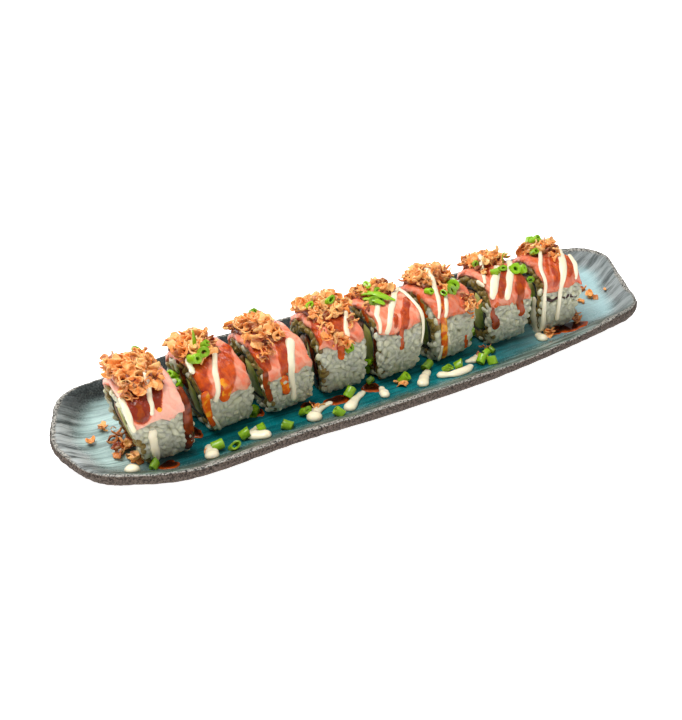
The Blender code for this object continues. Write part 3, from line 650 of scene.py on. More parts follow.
class Finish:
    """A material while its nodes are being wired."""

    def __init__(self, name, color=(0.8, 0.8, 0.8), roughness=0.5):
        self.material = bpy.data.materials.new(name)
        self.material.use_nodes = True
        self.nodes = self.material.node_tree.nodes
        self.links = self.material.node_tree.links
        self.shader = self.nodes["Principled BSDF"]
        self.set("Base Color", (*color, 1.0))
        self.set("Roughness", roughness)
        self.coordinates = self.nodes.new("ShaderNodeTexCoord")

    def set(self, name, value):
        """Sets a constant on the shader or wires a socket to it."""
        if isinstance(value, bpy.types.NodeSocket):
            self.links.new(value, self.shader.inputs[name])
        else:
            self.shader.inputs[name].default_value = value

    def wire(self, socket, value):
        """Wires a socket, or sets a number or colour, on any node."""
        if isinstance(value, bpy.types.NodeSocket):
            self.links.new(value, socket)
        else:
            socket.default_value = value

    def mapped(self, stretch=(1.0, 1.0, 1.0), turn=0.0, shift=(0.0, 0.0, 0.0)):
        """Object coordinates, stretched and turned."""
        mapping = self.nodes.new("ShaderNodeMapping")
        mapping.inputs["Scale"].default_value = stretch
        mapping.inputs["Rotation"].default_value = (0.0, 0.0, math.radians(turn))
        mapping.inputs["Location"].default_value = shift
        self.links.new(self.coordinates.outputs["Object"], mapping.inputs["Vector"])
        return mapping.outputs["Vector"]

    def noise(self, scale, detail=3.0, roughness=0.5, distortion=0.0, vector=None):
        """A noise value, on Object coordinates unless told otherwise."""
        texture = self.nodes.new("ShaderNodeTexNoise")
        texture.inputs["Scale"].default_value = scale
        texture.inputs["Detail"].default_value = detail
        texture.inputs["Roughness"].default_value = roughness
        texture.inputs["Distortion"].default_value = distortion
        self.links.new(vector or self.coordinates.outputs["Object"], texture.inputs["Vector"])
        return texture.outputs["Fac"]

    def attribute(self, name):
        """A number stored on the piece's points."""
        reader = self.nodes.new("ShaderNodeAttribute")
        reader.attribute_name = name
        return reader.outputs["Fac"]

    def math(self, operation, first, second=0.0, third=0.0, clamp=False):
        """One step of arithmetic."""
        step = self.nodes.new("ShaderNodeMath")
        step.operation = operation
        step.use_clamp = clamp
        for socket, value in zip(step.inputs, (first, second, third)):
            self.wire(socket, value)
        return step.outputs[0]

    def rise(self, value, low, high):
        """A smooth rise from 0 at low to 1 at high; low may be above high."""
        step = self.nodes.new("ShaderNodeMapRange")
        step.interpolation_type = "SMOOTHSTEP"
        self.wire(step.inputs["Value"], value)
        if low > high:
            low, high = high, low
            step.inputs["To Min"].default_value = 1.0
            step.inputs["To Max"].default_value = 0.0
        step.inputs["From Min"].default_value = low
        step.inputs["From Max"].default_value = high
        return step.outputs["Result"]

    def mix(self, share, first, second):
        """A blend of two colours."""
        blend = self.nodes.new("ShaderNodeMix")
        blend.data_type = "RGBA"
        self.wire(blend.inputs["Factor"], share)
        for socket, value in ((blend.inputs["A"], first), (blend.inputs["B"], second)):
            self.wire(socket, value if isinstance(value, bpy.types.NodeSocket) else (*value[:3], 1.0))
        return blend.outputs["Result"]

    def axis(self, name):
        """One Object coordinate in metres."""
        split = self.nodes.new("ShaderNodeSeparateXYZ")
        self.links.new(self.coordinates.outputs["Object"], split.inputs["Vector"])
        return split.outputs[name]

    def pair(self, first, second):
        """A vector of two numbers, for textures that follow the surface."""
        join = self.nodes.new("ShaderNodeCombineXYZ")
        self.wire(join.inputs["X"], first)
        self.wire(join.inputs["Y"], second)
        return join.outputs["Vector"]

    def bump(self, height, distance, strength=1.0):
        """Small relief from a height value, in metres; later calls add to earlier ones."""
        relief = self.nodes.new("ShaderNodeBump")
        relief.inputs["Strength"].default_value = strength
        relief.inputs["Distance"].default_value = distance
        self.links.new(height, relief.inputs["Height"])
        earlier = self.shader.inputs["Normal"].links
        if earlier:
            self.links.new(earlier[0].from_socket, relief.inputs["Normal"])
        self.links.new(relief.outputs["Normal"], self.shader.inputs["Normal"])

    def soft(self, weight, radius, scale):
        """Light that passes a little way into food."""
        self.set("Subsurface Weight", weight)
        self.set("Subsurface Radius", radius)
        self.set("Subsurface Scale", scale)


def rice_finish():
    """Moist short rice, a little see-through, each grain its own tone; grains at the left ends turn brown,
    partly sauce stain and partly painted shade.
    """
    rice = Finish("rice", roughness=0.30)
    tint = rice.attribute("tint")
    color = rice.mix(tint, shade(palette().rice, 0.74), palette().rice)
    color = rice.mix(rice.noise(260.0), color, shade(palette().rice, 0.9))
    # Brown for the marked left-end grains: partly sauce stain, partly painted shade in the gap between rolls
    sauce_and_shade = rice.mix(rice.noise(130.0), (0.09, 0.045, 0.008), (0.34, 0.25, 0.06))
    rice.set("Base Color", rice.mix(rice.rise(tint, -0.15, -0.6), color, sauce_and_shade))
    rice.soft(0.55, (1.0, 0.95, 0.62), 2.2 * MM)
    rice.set("Specular IOR Level", 0.4)
    rice.bump(rice.noise(900.0, detail=2.0), 0.12 * MM)
    return rice.material


def rice_core_finish():
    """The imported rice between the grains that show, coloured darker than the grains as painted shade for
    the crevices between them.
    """
    packed = Finish("packed_rice", roughness=0.6)
    # Painted shade: 0.45 to 0.75 of the rice colour, darker than the grains over it
    color = packed.mix(packed.noise(400.0), shade(palette().rice, 0.45), shade(palette().rice, 0.75))
    packed.set("Base Color", color)
    packed.soft(0.4, (1.0, 0.95, 0.62), 2.0 * MM)
    packed.bump(packed.noise(500.0), 0.8 * MM)
    return packed.material


def salmon_finish():
    """Raw salmon with pale fat lines, orange-red and glossy where the glaze has run over it."""
    salmon = Finish("salmon", roughness=0.3)
    run = salmon.attribute("run")
    side = salmon.attribute("side")
    surface = salmon.pair(run, side)
    drift = salmon.noise(0.16, detail=2.0, vector=surface)
    bands = salmon.math("SINE", salmon.math("ADD", salmon.math("MULTIPLY", run, 0.55), salmon.math(
        "ADD", salmon.math("MULTIPLY", side, 0.75), salmon.math("MULTIPLY", drift, 9.0))))
    lines = salmon.rise(bands, 0.35, 1.0)
    blotch = salmon.noise(0.35, detail=4.0, vector=surface)
    flesh = salmon.mix(salmon.rise(blotch, 0.32, 0.62), palette().salmon, (0.86, 0.30, 0.18))
    flesh = salmon.mix(salmon.math("MULTIPLY", lines, 0.38), flesh, palette().fat)
    amount = salmon.attribute("glaze")
    glaze = salmon.rise(amount, 0.0, 1.0)
    flesh = salmon.mix(salmon.rise(amount, 0.0, -1.0), flesh, (0.95, 0.62, 0.50))
    depth = salmon.noise(0.3, detail=3.0, vector=surface)
    sauce = salmon.mix(salmon.rise(depth, 0.32, 0.68), palette().glaze, (0.34, 0.022, 0.002))
    sauce = salmon.mix(salmon.rise(amount, 1.0, 2.0), sauce, (0.20, 0.012, 0.001))
    salmon.set("Base Color", salmon.mix(salmon.math("MULTIPLY", glaze, 0.96), flesh, sauce))
    salmon.set("Roughness", salmon.math("SUBTRACT", 0.32, salmon.math("MULTIPLY", glaze, 0.22)))
    salmon.set("Specular IOR Level", 0.34)
    salmon.soft(0.2, (1.0, 0.28, 0.14), 1.6 * MM)
    salmon.bump(salmon.noise(1.3, detail=4.0, vector=surface), 0.35 * MM)
    salmon.bump(bands, 0.25 * MM)
    return salmon.material


def onion_finish():
    """Fried onion: golden orange flakes, mottled, with burnt spots; near-black painted shade and pale gold
    painted highlight at the two ends of the tint.
    """
    onion = Finish("onion", roughness=0.27)
    tint = onion.attribute("tint")
    # The tint runs from near black-brown, painted shade for the heap's bed and its deeper flakes, through the
    # onion colour to pale gold, a painted highlight that the upper flakes reach more often; between these it
    # varies at random from flake to flake
    color = onion.mix(onion.rise(tint, 0.05, 0.55), (0.22, 0.024, 0.003), palette().onion)
    color = onion.mix(onion.rise(tint, 0.5, 1.0), color, (1.0, 0.60, 0.22))
    mottle = onion.rise(onion.noise(330.0, detail=4.0, roughness=0.65), 0.42, 0.66)
    color = onion.mix(onion.math("MULTIPLY", mottle, 0.5), color, (1.0, 0.60, 0.24))
    burnt = onion.rise(onion.noise(240.0, detail=3.0, vector=onion.mapped(shift=(3.0, 1.0, 2.0))), 0.54, 0.70)
    onion.set("Base Color", onion.mix(onion.math("MULTIPLY", burnt, 0.75), color, (0.30, 0.045, 0.006)))
    onion.set("Specular IOR Level", 0.5)
    onion.soft(0.06, (1.0, 0.4, 0.12), 0.6 * MM)
    onion.bump(onion.noise(1400.0, detail=4.0), 0.35 * MM)
    return onion.material


def scallion_finish():
    """Fresh scallion: dark to bright green slice by slice, with paler patches."""
    scallion = Finish("scallion", roughness=0.24)
    tint = scallion.attribute("tint")
    color = scallion.mix(tint, shade(palette().scallion, 0.28), palette().scallion)
    veins = scallion.rise(scallion.noise(500.0, detail=2.0), 0.45, 0.75)
    color = scallion.mix(scallion.math("MULTIPLY", veins, 0.35), color, (0.46, 0.66, 0.07))
    scallion.set("Base Color", color)
    scallion.soft(0.2, (0.5, 1.0, 0.15), 1.0 * MM)
    scallion.set("Specular IOR Level", 0.5)
    scallion.bump(scallion.noise(900.0, detail=2.0), 0.15 * MM)
    return scallion.material


def mayo_finish():
    """Mayonnaise: pale cream, smooth and softly shining."""
    mayo = Finish("mayonnaise", roughness=0.26)
    drift = mayo.rise(mayo.noise(160.0), 0.3, 0.7)
    mayo.set("Base Color", mayo.mix(drift, shade(palette().mayonnaise, 0.95), palette().mayonnaise))
    mayo.soft(0.35, (1.0, 0.9, 0.6), 1.6 * MM)
    mayo.set("Specular IOR Level", 0.5)
    mayo.bump(mayo.noise(260.0, detail=2.0), 0.25 * MM)
    return mayo.material


def glaze_finish():
    """Thick soy glaze: nearly black red-brown in its middle, orange-brown where it thins."""
    glaze = Finish("glaze", roughness=0.1)
    thick = glaze.attribute("tint")
    streak = glaze.noise(220.0, detail=3.0)
    streak = glaze.math("MULTIPLY", glaze.math("SUBTRACT", streak, 0.5), 0.8)
    share = glaze.math("ADD", thick, streak, clamp=True)
    thin = glaze.mix(glaze.rise(share, 0.0, 0.14), (0.86, 0.36, 0.02), palette().glaze)
    thin = glaze.mix(glaze.rise(share, 0.12, 0.5), thin, (0.34, 0.050, 0.003))
    glaze.set("Base Color", glaze.mix(glaze.rise(share, 0.4, 0.9), thin, (0.030, 0.004, 0.001)))
    glaze.set("Specular IOR Level", 0.25)
    glaze.bump(glaze.noise(180.0), 0.3 * MM)
    return glaze.material


def nori_finish():
    """Damp nori: almost black green with a fine crinkle."""
    nori = Finish("nori", roughness=0.5)
    nori.set("Base Color", nori.mix(nori.noise(600.0), shade(palette().nori, 0.35), palette().nori))
    nori.bump(nori.noise(1200.0, detail=4.0), 0.3 * MM)
    return nori.material


def avocado_finish():
    """Avocado: yellow inside, green towards its skin side, softly mottled."""
    avocado = Finish("avocado", roughness=0.4)
    green = avocado.rise(avocado.attribute("tint"), 0.15, 0.95)
    color = avocado.mix(green, palette().avocado, (0.10, 0.15, 0.018))
    soft_spots = avocado.rise(avocado.noise(350.0, detail=3.0), 0.35, 0.7)
    color = avocado.mix(avocado.math("MULTIPLY", soft_spots, 0.35), color, (0.40, 0.40, 0.09))
    avocado.set("Base Color", color)
    avocado.soft(0.25, (1.0, 0.9, 0.4), 1.5 * MM)
    avocado.bump(avocado.noise(500.0), 0.3 * MM)
    return avocado.material


def filling_finish():
    """The brown, glazed filling beside the avocado."""
    filling = Finish("filling", roughness=0.3)
    flake = filling.rise(filling.noise(420.0, detail=4.0, roughness=0.6), 0.35, 0.65)
    filling.set("Base Color", filling.mix(flake, shade(palette().filling, 0.25), palette().filling))
    filling.bump(filling.noise(800.0, detail=4.0), 0.6 * MM)
    return filling.material


def stoneware_finish():
    """Hand-made stoneware: a teal pool, silver ends, a charcoal back wall, a front wall with painted
    reflections and a bare rough edge.
    """
    ware = Finish("stoneware", roughness=0.3)
    inward = ware.attribute("inward")
    x = ware.axis("X")
    y = ware.axis("Y")
    cloud = ware.noise(28.0, detail=5.0, roughness=0.6)
    drift = ware.math("MULTIPLY", ware.math("SUBTRACT", cloud, 0.5), 0.05)
    x_soft = ware.math("ADD", x, drift)
    brushed = ware.mapped((26.0, 330.0, 60.0), 6.0)
    along = ware.noise(1.0, detail=5.0, roughness=0.62, distortion=0.6, vector=brushed)
    fine = ware.noise(1.0, detail=3.0, roughness=0.6, vector=ware.mapped((60.0, 900.0, 200.0), 3.0))
    speck = ware.noise(1100.0, detail=3.0, roughness=0.7)

    deep = ware.mix(ware.rise(along, 0.36, 0.64), shade(palette().pool, 0.42), palette().pool)
    deep = ware.mix(ware.math("MULTIPLY", ware.rise(fine, 0.5, 0.75), 0.35), deep, (0.02, 0.33, 0.33))
    pale = ware.mix(ware.rise(along, 0.38, 0.66), shade(palette().ends, 0.5), palette().ends)
    left_end = ware.rise(x_soft, -0.118, -0.152)
    right_end = ware.rise(x_soft, 0.045, 0.155)
    floor = ware.mix(left_end, deep, pale)
    floor = ware.mix(right_end, floor, ware.mix(0.75, pale, (0.44, 0.64, 0.66)))

    char = ware.mix(ware.rise(speck, 0.38, 0.68), (0.006, 0.009, 0.008), (0.050, 0.062, 0.060))
    silver = ware.mix(ware.rise(along, 0.34, 0.62), (0.045, 0.055, 0.052), (0.48, 0.52, 0.51))
    silver = ware.mix(ware.math("MULTIPLY", ware.rise(fine, 0.52, 0.72), 0.45), silver, (0.55, 0.59, 0.60))
    moss = ware.mix(ware.rise(speck, 0.36, 0.66), (0.020, 0.034, 0.028), (0.125, 0.16, 0.12))
    # Painted reflection: pale grey-teal patches mixed into the front wall's colour
    painted_reflection = ware.math("MULTIPLY", ware.rise(along, 0.44, 0.66), ware.rise(cloud, 0.36, 0.62))
    moss = ware.mix(ware.math("MULTIPLY", painted_reflection, 0.75), moss, (0.34, 0.44, 0.40))
    silver = ware.mix(ware.math("MULTIPLY", right_end, 0.45), silver, (0.09, 0.11, 0.11))
    back = ware.rise(ware.math("ADD", y, drift), -0.004, 0.026)
    slanted = ware.math("ADD", x_soft, ware.math("MULTIPLY", back, 0.010))
    far_ends = ware.math("MAXIMUM", ware.rise(slanted, -0.140, -0.166), ware.rise(x_soft, 0.104, 0.134))
    far_back = ware.math("MULTIPLY", back, ware.rise(x_soft, 0.150, 0.120))
    far_back = ware.math("MAXIMUM", far_back, ware.rise(ware.math("ADD", y, drift), -0.026, -0.042))
    wall = ware.mix(back, moss, char)
    silvered = ware.math("SUBTRACT", 1.0, ware.math("MULTIPLY", far_back, 0.75))
    wall = ware.mix(ware.math("MULTIPLY", far_ends, silvered), wall, silver)

    pooled = ware.math("ADD", inward, ware.math("MULTIPLY", ware.math("SUBTRACT", cloud, 0.5), 0.7))
    inside = ware.mix(ware.rise(pooled, 0.45, 1.05), wall, floor)
    lip = ware.mix(ware.rise(speck, 0.42, 0.56), (0.012, 0.012, 0.011), (0.42, 0.40, 0.35))
    inside = ware.mix(ware.rise(pooled, 0.13, 0.03), inside, lip)
    clay = ware.mix(ware.rise(speck, 0.34, 0.66), (0.022, 0.015, 0.011), (0.165, 0.125, 0.100))
    bare = ware.rise(inward, -0.03, -0.10)
    ware.set("Base Color", ware.mix(bare, inside, clay))
    gloss = ware.math("ADD", 0.17, ware.math("MULTIPLY", ware.rise(speck, 0.3, 0.7), 0.12))
    dull = ware.math("MULTIPLY", ware.rise(pooled, 0.9, 0.2), 0.16)
    glazed = ware.math("ADD", gloss, dull)
    ware.set("Roughness", ware.math("ADD", glazed, ware.math("MULTIPLY", bare, 0.45), clamp=True))
    ware.set("Specular IOR Level", 0.28)
    ware.bump(ware.math("MULTIPLY", speck, ware.math("ADD", bare, 0.12)), 0.7 * MM)
    ware.bump(ware.noise(70.0, detail=2.0), 1.2 * MM)
    ware.bump(ware.math("MULTIPLY", fine, far_ends), 0.5 * MM)
    return ware.material


def table_finish():
    """The pale table top under everything."""
    table = Finish("table", roughness=0.6)
    pale = table.noise(3.0)
    table.set("Base Color", table.mix(pale, shade(palette().table, 0.98), palette().table))
    table.set("Specular IOR Level", 0.2)
    table.set("Emission Color", (1.0, 1.0, 1.0, 1.0))
    table.set("Emission Strength", 0.95)
    return table.material


FINISHES = {}


def finish_of(maker):
    """A material, made once by its function."""
    if maker.__name__ not in FINISHES:
        FINISHES[maker.__name__] = maker()
    return FINISHES[maker.__name__]


def rim_height(x, turn):
    """The rim rises at both ends and is a little wavy, as hand-made ware is."""
    wave = RIM_WAVE * (math.sin(3 * turn + 0.6) + 0.6 * math.sin(7 * turn))
    lift = RIGHT_END_LIFT * ease(70 * MM, 175 * MM, x) + LEFT_END_LIFT * ease(100 * MM, 170 * MM, -x)
    return RIM_HEIGHT + wave + float(lift)


def plate_point(corner, inset, height):
    """A point in from a corner of the outline, towards the plate's middle line."""
    middle = Vector((max(-SPINE_HALF, min(SPINE_HALF, corner.x)), 0.0))
    inward = (middle - corner).normalized()
    place = corner + inward * inset
    return (place.x, place.y, height)


def make_plate(settings):
    """The long plate with its rough edge, lip and shallow glazed dish."""
    outline = [Vector((x * MM, y * MM)) for x, y in closed_curve(RIM_CORNERS, settings.outline_steps)]
    draw = random.Random(3)
    tables = [noise_table(draw, 512) for _ in range(4)]
    rings = []
    inward = []
    count = len(outline)
    places = np.arange(count)
    chips = wobble(tables[0], places * 0.9) * 0.22 * MM
    swell = wobble(tables[1], places * 0.17) * 0.35 * MM
    for inset, height in FOOT_SECTION:
        rough = wobble(tables[2], places * 0.7 + inset * 9.0) * 0.25 * MM * (height > 0.5)
        rings.append([plate_point(corner, inset * MM + rough[place], height * MM)
                      for place, corner in enumerate(outline)])
        inward += [-1.0] * count
    for ring_number, (inset, share) in enumerate(WALL_SECTION):
        outside = ring_number < 5
        rough = wobble(tables[3], places * 0.8 + ring_number * 37.0) * (0.28 if outside else 0.06) * MM
        ring = []
        for place, corner in enumerate(outline):
            turn = math.atan2(corner.y * 3.0, corner.x)
            top = rim_height(corner.x, turn) + (chips[place] + swell[place]) * (1.0 if share > 0.8 else 0.3)
            height = FLOOR_HEIGHT + share * (top - FLOOR_HEIGHT)
            ring.append(plate_point(corner, inset * MM + rough[place], height))
        rings.append(ring)
        depth = (inset - 1.4) / 16.0 if not outside else -0.5 + 0.09 * ring_number
        inward += [depth] * count
    for inset in FLOOR_RINGS:
        rings.append([plate_point(corner, inset * MM, FLOOR_HEIGHT) for corner in outline])
        inward += [1.4] * count
    points = [point for ring in rings for point in ring]
    faces = grid_faces(len(rings), count, wrap=True)
    faces.append(tuple(reversed(range(count))))
    faces.append(tuple(range(len(points) - count, len(points))))
    plate = mesh_object("stoneware_plate", points, faces, finish_of(stoneware_finish))
    set_attribute(plate, "inward", inward)
    return finish_piece(plate, "stoneware", "plate")


def grain_shapes(settings):
    """Short rice grains from a sphere: plump, a little bent and blunter at one end."""
    shapes = []
    draw = random.Random(11)
    for _ in range(5):
        bpy.ops.mesh.primitive_uv_sphere_add(segments=9, ring_count=7, radius=0.5)
        grain = bpy.context.active_object
        bpy.ops.object.mode_set(mode="EDIT")
        bpy.ops.mesh.select_all(action="SELECT")
        bpy.ops.transform.resize(value=(settings.grain_width, settings.grain_width * draw.uniform(0.78, 0.9),
                                        settings.grain_length * draw.uniform(0.88, 1.1)),
                                 center_override=(0.0, 0.0, 0.0))
        bpy.ops.object.mode_set(mode="OBJECT")
        bend = draw.uniform(0.04, 0.14)
        taper = draw.uniform(-0.14, 0.14)
        for vert in grain.data.vertices:
            share = vert.co.z / (settings.grain_length / 2)
            square = 1.0 + 0.16 * (1.0 - abs(share)) * abs(share) * 4
            bow = bend * settings.grain_width * (share * share - 0.3)
            vert.co.x = vert.co.x * (1.0 + taper * share) * square + bow
            vert.co.y = vert.co.y * (1.0 + taper * share) * square
        shapes.append(take_shape(grain))
    return shapes


def grain_matrix(place, normal, along_roll, spin, pitch):
    """Sets a grain down with its length near the surface, spun about the normal and pitched out of it."""
    normal = Vector(normal)
    side = Vector(along_roll)
    other = normal.cross(side).normalized()
    length = (side * math.cos(spin) + other * math.sin(spin)).normalized()
    length = (length * math.cos(pitch) + normal * math.sin(pitch)).normalized()
    across = length.cross(normal).normalized()
    up = across.cross(length).normalized()
    matrix = Matrix((across, up, length)).transposed().to_4x4()
    matrix.translation = Vector(place)
    return matrix


def spread(draw, area, tries, closeness):
    """Random places in a rectangle, none closer together than the given distance."""
    width, height = area
    cell = closeness
    taken = {}
    chosen = []
    for _ in range(tries):
        x = draw.uniform(0.0, width)
        y = draw.uniform(0.0, height)
        column, row = int(x / cell), int(y / cell)
        near = (other for dx in (-1, 0, 1) for dy in (-1, 0, 1)
                for other in taken.get((column + dx, row + dy), ()))
        if all((x - ox) ** 2 + (y - oy) ** 2 > closeness ** 2 for ox, oy in near):
            taken.setdefault((column, row), []).append((x, y))
            chosen.append((x, y))
    return chosen


def usual_tint(draw, middle=0.5, reach=0.25, more=0.0):
    """A piece's own shade between 0 and 1."""
    return min(1.0, max(0.0, draw.gauss(middle, reach) + more))


def make_rice(settings, number):
    """Real grains over a packed core, on the skin that shows and on both cut faces."""
    roll = ROLLS[number]
    draw = random.Random(100 + number)
    sauce_and_shade_noise = np.random.default_rng(900 + number).uniform(-1.0, 1.0, 60)
    half = roll["slice"] * MM / 2
    places = []
    tints = []
    first = run_at(148.0)
    last = SKIN_RUN[-1] + run_at(roll["edge"] + 4.0)
    for x, run in spread(draw, (2 * half, last - first), 9000, settings.grain_spacing):
        turn = float(turn_at(first + run))
        point, normal = skin(turn, -1.05 * MM + draw.uniform(-0.25, 0.35) * MM)
        along = x - half
        edge_pull = ease(half - 2.5 * MM, half, abs(along)) * 0.7 * MM
        y, z = point - normal * float(edge_pull)
        z = max(z, 1.15 * MM)
        place = (along * 0.95 * float(narrowing(z)), y, z)
        places.append((draw.randrange(5), grain_matrix(
            place, (0.0, normal[0], normal[1]), (1.0, 0.0, 0.0), draw.uniform(0, math.pi),
            draw.gauss(0.0, 0.24))))
        tints.append(usual_tint(draw))
    reach = ROLL_DEPTH / 2 + 1.5 * MM
    for end in (-1.0, 1.0):
        for y, z in spread(draw, (2 * reach, ROLL_HEIGHT), 6000, settings.grain_spacing * 0.94):
            y -= reach
            middle = math.degrees(math.atan2(z - CORE_CENTRE, -y)) % 360.0
            turns = np.linspace(middle - 25.0, middle + 25.0, 41)
            outer = skin(turns)[0]
            here = np.array([y, z])
            nearest = np.argmin(np.linalg.norm(outer - here, axis=1))
            normal = skin(turns[nearest])[1]
            if np.dot(here - outer[nearest], normal) > -1.1 * MM:
                continue
            inner = core(turns)
            close = np.argmin(np.linalg.norm(inner - here, axis=1))
            away = inner[close] - np.array([0.0, CORE_CENTRE])
            if np.dot(here - inner[close], away) < 1.0 * MM * np.linalg.norm(away):
                continue
            z = max(z, 1.3 * MM)
            shape = draw.randrange(5)
            out = half * float(narrowing(z)) - 1.0 * MM + draw.uniform(-0.2, 0.3) * MM
            places.append((shape, grain_matrix(
                (end * out, y, z), (end, 0.0, 0.0), (0.0, 1.0, 0.0), draw.uniform(0, math.pi),
                draw.gauss(0.0, 0.35))))
            # Patches of the left end are coloured brown: partly sauce stain, partly painted shade in the gap
            # between rolls
            patch = float(wobble(sauce_and_shade_noise, y / MM * 0.22 + 30) + wobble(sauce_and_shade_noise, z / MM * 0.2 + 9)) * 0.3 + 0.5
            sauce_and_shade = end < 0 and patch < LEFT_SAUCE_AND_SHADE[number]
            tints.append(-1.0 if sauce_and_shade else usual_tint(draw))
    shapes = settings_shapes("grain", settings, grain_shapes)
    grains = scatter(f"rice_grains_{number + 1}", shapes, places, tints, finish_of(rice_finish))
    place_in_row(grains, roll)
    finish_piece(grains, "rice", f"rice_{number + 1}")
    packed = make_rice_core(number)
    return grains, packed


SHAPES = {}


def settings_shapes(name, settings, maker):
    """Template shapes, modelled once and kept for every roll."""
    if name not in SHAPES:
        SHAPES[name] = maker(settings)
    return SHAPES[name]


def make_rice_core(number):
    """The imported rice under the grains: a tube round the core with a bumpy skin."""
    roll = ROLLS[number]
    draw = random.Random(300 + number)
    sides = 72
    half = roll["slice"] * MM / 2
    turns = np.arange(sides) * 360.0 / sides
    rings = []
    stations = np.linspace(-half + 1.2 * MM, half - 1.2 * MM, 12)
    for place, along in enumerate(stations):
        bumps = np.array([draw.uniform(-0.35, 0.25) for _ in range(sides)]) * MM
        drop = -1.25 * MM - (0.5 * MM if place in (0, len(stations) - 1) else 0.0)
        under = ease(roll["edge"] + 2, roll["edge"] + 12, turns) * (1 - ease(138, 148, turns))
        rings.append(in_roll(along, skin(turns, (drop + bumps) * (1 - under) - 0.3 * MM * under)[0]))
    for along, ends in ((half - 1.2 * MM, (0.66, 0.33)), (-half + 1.2 * MM, (0.33, 0.66))):
        if along > 0:
            for share in ends:
                rings.append(in_roll(along + draw.uniform(-0.2, 0.2) * MM,
                                     skin(turns, -1.2 * MM)[0] * share + core(turns, 0.2 * MM) * (1 - share)))
            rings.append(in_roll(along, core(turns, 0.2 * MM)))
        else:
            rings.append(in_roll(along, core(turns, 0.2 * MM)))
            for share in ends:
                rings.append(in_roll(along + draw.uniform(-0.2, 0.2) * MM,
                                     skin(turns, -1.2 * MM)[0] * share + core(turns, 0.2 * MM) * (1 - share)))
    points = np.concatenate(rings)
    faces = grid_faces(len(rings), sides, wrap=True)
    last = len(points) - sides
    faces += [(last + side, last + (side + 1) % sides, (side + 1) % sides, side) for side in range(sides)]
    packed = mesh_object(f"rice_packed_{number + 1}", points, faces, finish_of(rice_core_finish))
    place_in_row(packed, roll)
    return finish_piece(packed, "rice", f"rice_{number + 1}")


def make_nori(number):
    """The nori round the core, thin and slightly wavy, a little proud of the rice."""
    roll = ROLLS[number]
    draw = random.Random(400 + number)
    table = noise_table(draw, 64)
    sides = 96
    half = roll["slice"] * MM / 2 + 0.1 * MM
    turns = np.arange(sides) * 360.0 / sides
    rings = []
    for along, out in ((-half, 0.0), (-half * 0.5, 0.0), (half * 0.5, 0.0), (half, 0.0),
                       (half, -NORI_THICKNESS), (-half, -NORI_THICKNESS)):
        wave = wobble(table, turns * 18 / 360 + along * 300) * 0.22 * MM
        ripple = wobble(table, turns * 30 / 360 + 9) * 0.3 * MM * (1 if abs(along) == half else 0)
        rings.append(in_roll(along + ripple, core(turns, out)))
        rings[-1][:, 1:] *= 1.0 + wave[:, None] * 8
    points = np.concatenate(rings)
    faces = grid_faces(len(rings), sides, wrap=True)
    last = len(points) - sides
    faces += [(last + side, last + (side + 1) % sides, (side + 1) % sides, side) for side in range(sides)]
    nori = mesh_object(f"nori_sheet_{number + 1}", points, faces, finish_of(nori_finish))
    place_in_row(nori, roll)
    return finish_piece(nori, "nori", f"nori_{number + 1}")


def make_core_strip(number, kind, front):
    """Avocado or filling: a soft, rounded strip that fills its side of the core."""
    roll = ROLLS[number]
    draw = random.Random(500 + number + (50 if front else 0))
    table = noise_table(draw, 256)
    split = (roll["avocado"] - 0.5) * CORE_DEPTH
    half = roll["slice"] * MM / 2
    sides = 56
    turns = np.arange(sides) * 360.0 / sides
    outline = core(turns, -NORI_THICKNESS - 0.3 * MM)
    edge = split - 0.25 * MM if front else split + 0.25 * MM
    outline[:, 0] = np.minimum(outline[:, 0], edge) if front else np.maximum(outline[:, 0], edge)
    middle = outline.mean(axis=0)
    rings = []
    left = [(-half + shift * MM, scale) for shift, scale in STRIP_END]
    right = [(half - shift * MM, scale) for shift, scale in reversed(STRIP_END)]
    for along, scale in (*left, (0.0, 1.0), *right):
        uneven = 1.0 - 0.05 * np.abs(wobble(table, turns * 12 / 360 + along * 250))
        places = middle + (outline - middle) * scale * uneven[:, None]
        push = wobble(table, turns * 9 / 360 + scale * 5 + 40) * 0.35 * MM * (abs(along) > half - MM)
        rings.append(in_roll(along + push * (scale < 0.97) * scale, places))
    rings[0] = rings[0][:1]
    rings[-1] = rings[-1][:1]
    points = np.concatenate(rings)
    faces = grid_faces(len(rings) - 2, sides, wrap=True, start=1)
    faces += [(0, 1 + (side + 1) % sides, 1 + side) for side in range(sides)]
    last = len(points) - 1
    start = last - sides
    faces += [(last, start + side, start + (side + 1) % sides) for side in range(sides)]
    maker = avocado_finish if front else filling_finish
    strip = mesh_object(f"{kind}_strip_{number + 1}", points, faces, finish_of(maker))
    if front:
        across = np.array([point[1] for point in points])
        low, high = outline[:, 0].min(), outline[:, 0].max()
        set_attribute(strip, "tint", 1.0 - (across - low) / (high - low))
    place_in_row(strip, roll)
    return finish_piece(strip, kind, f"{kind}_{number + 1}")


def glaze_cover(number, along, turn):
    """How much glaze lies on a place of the salmon, by how near it is to a run of glaze."""
    side = along / MM
    run = run_at(turn) / MM
    cover = np.zeros(np.broadcast(along, turn).shape)
    for knots in GLAZE_RUNS[number]:
        path = np.array([(place, float(run_at(angle)) / MM, width) for place, angle, width in knots])
        for start, end in zip(path, path[1:]):
            step = end[:2] - start[:2]
            share = (side - start[0]) * step[0] + (run - start[1]) * step[1]
            share = np.clip(share / (step @ step), 0.0, 1.0)
            far = np.hypot(side - start[0] - share * step[0], run - start[1] - share * step[1])
            cover = np.maximum(cover, 1.0 - ease(0.75, 1.1, far / (start[2] + (end[2] - start[2]) * share)))
    return cover


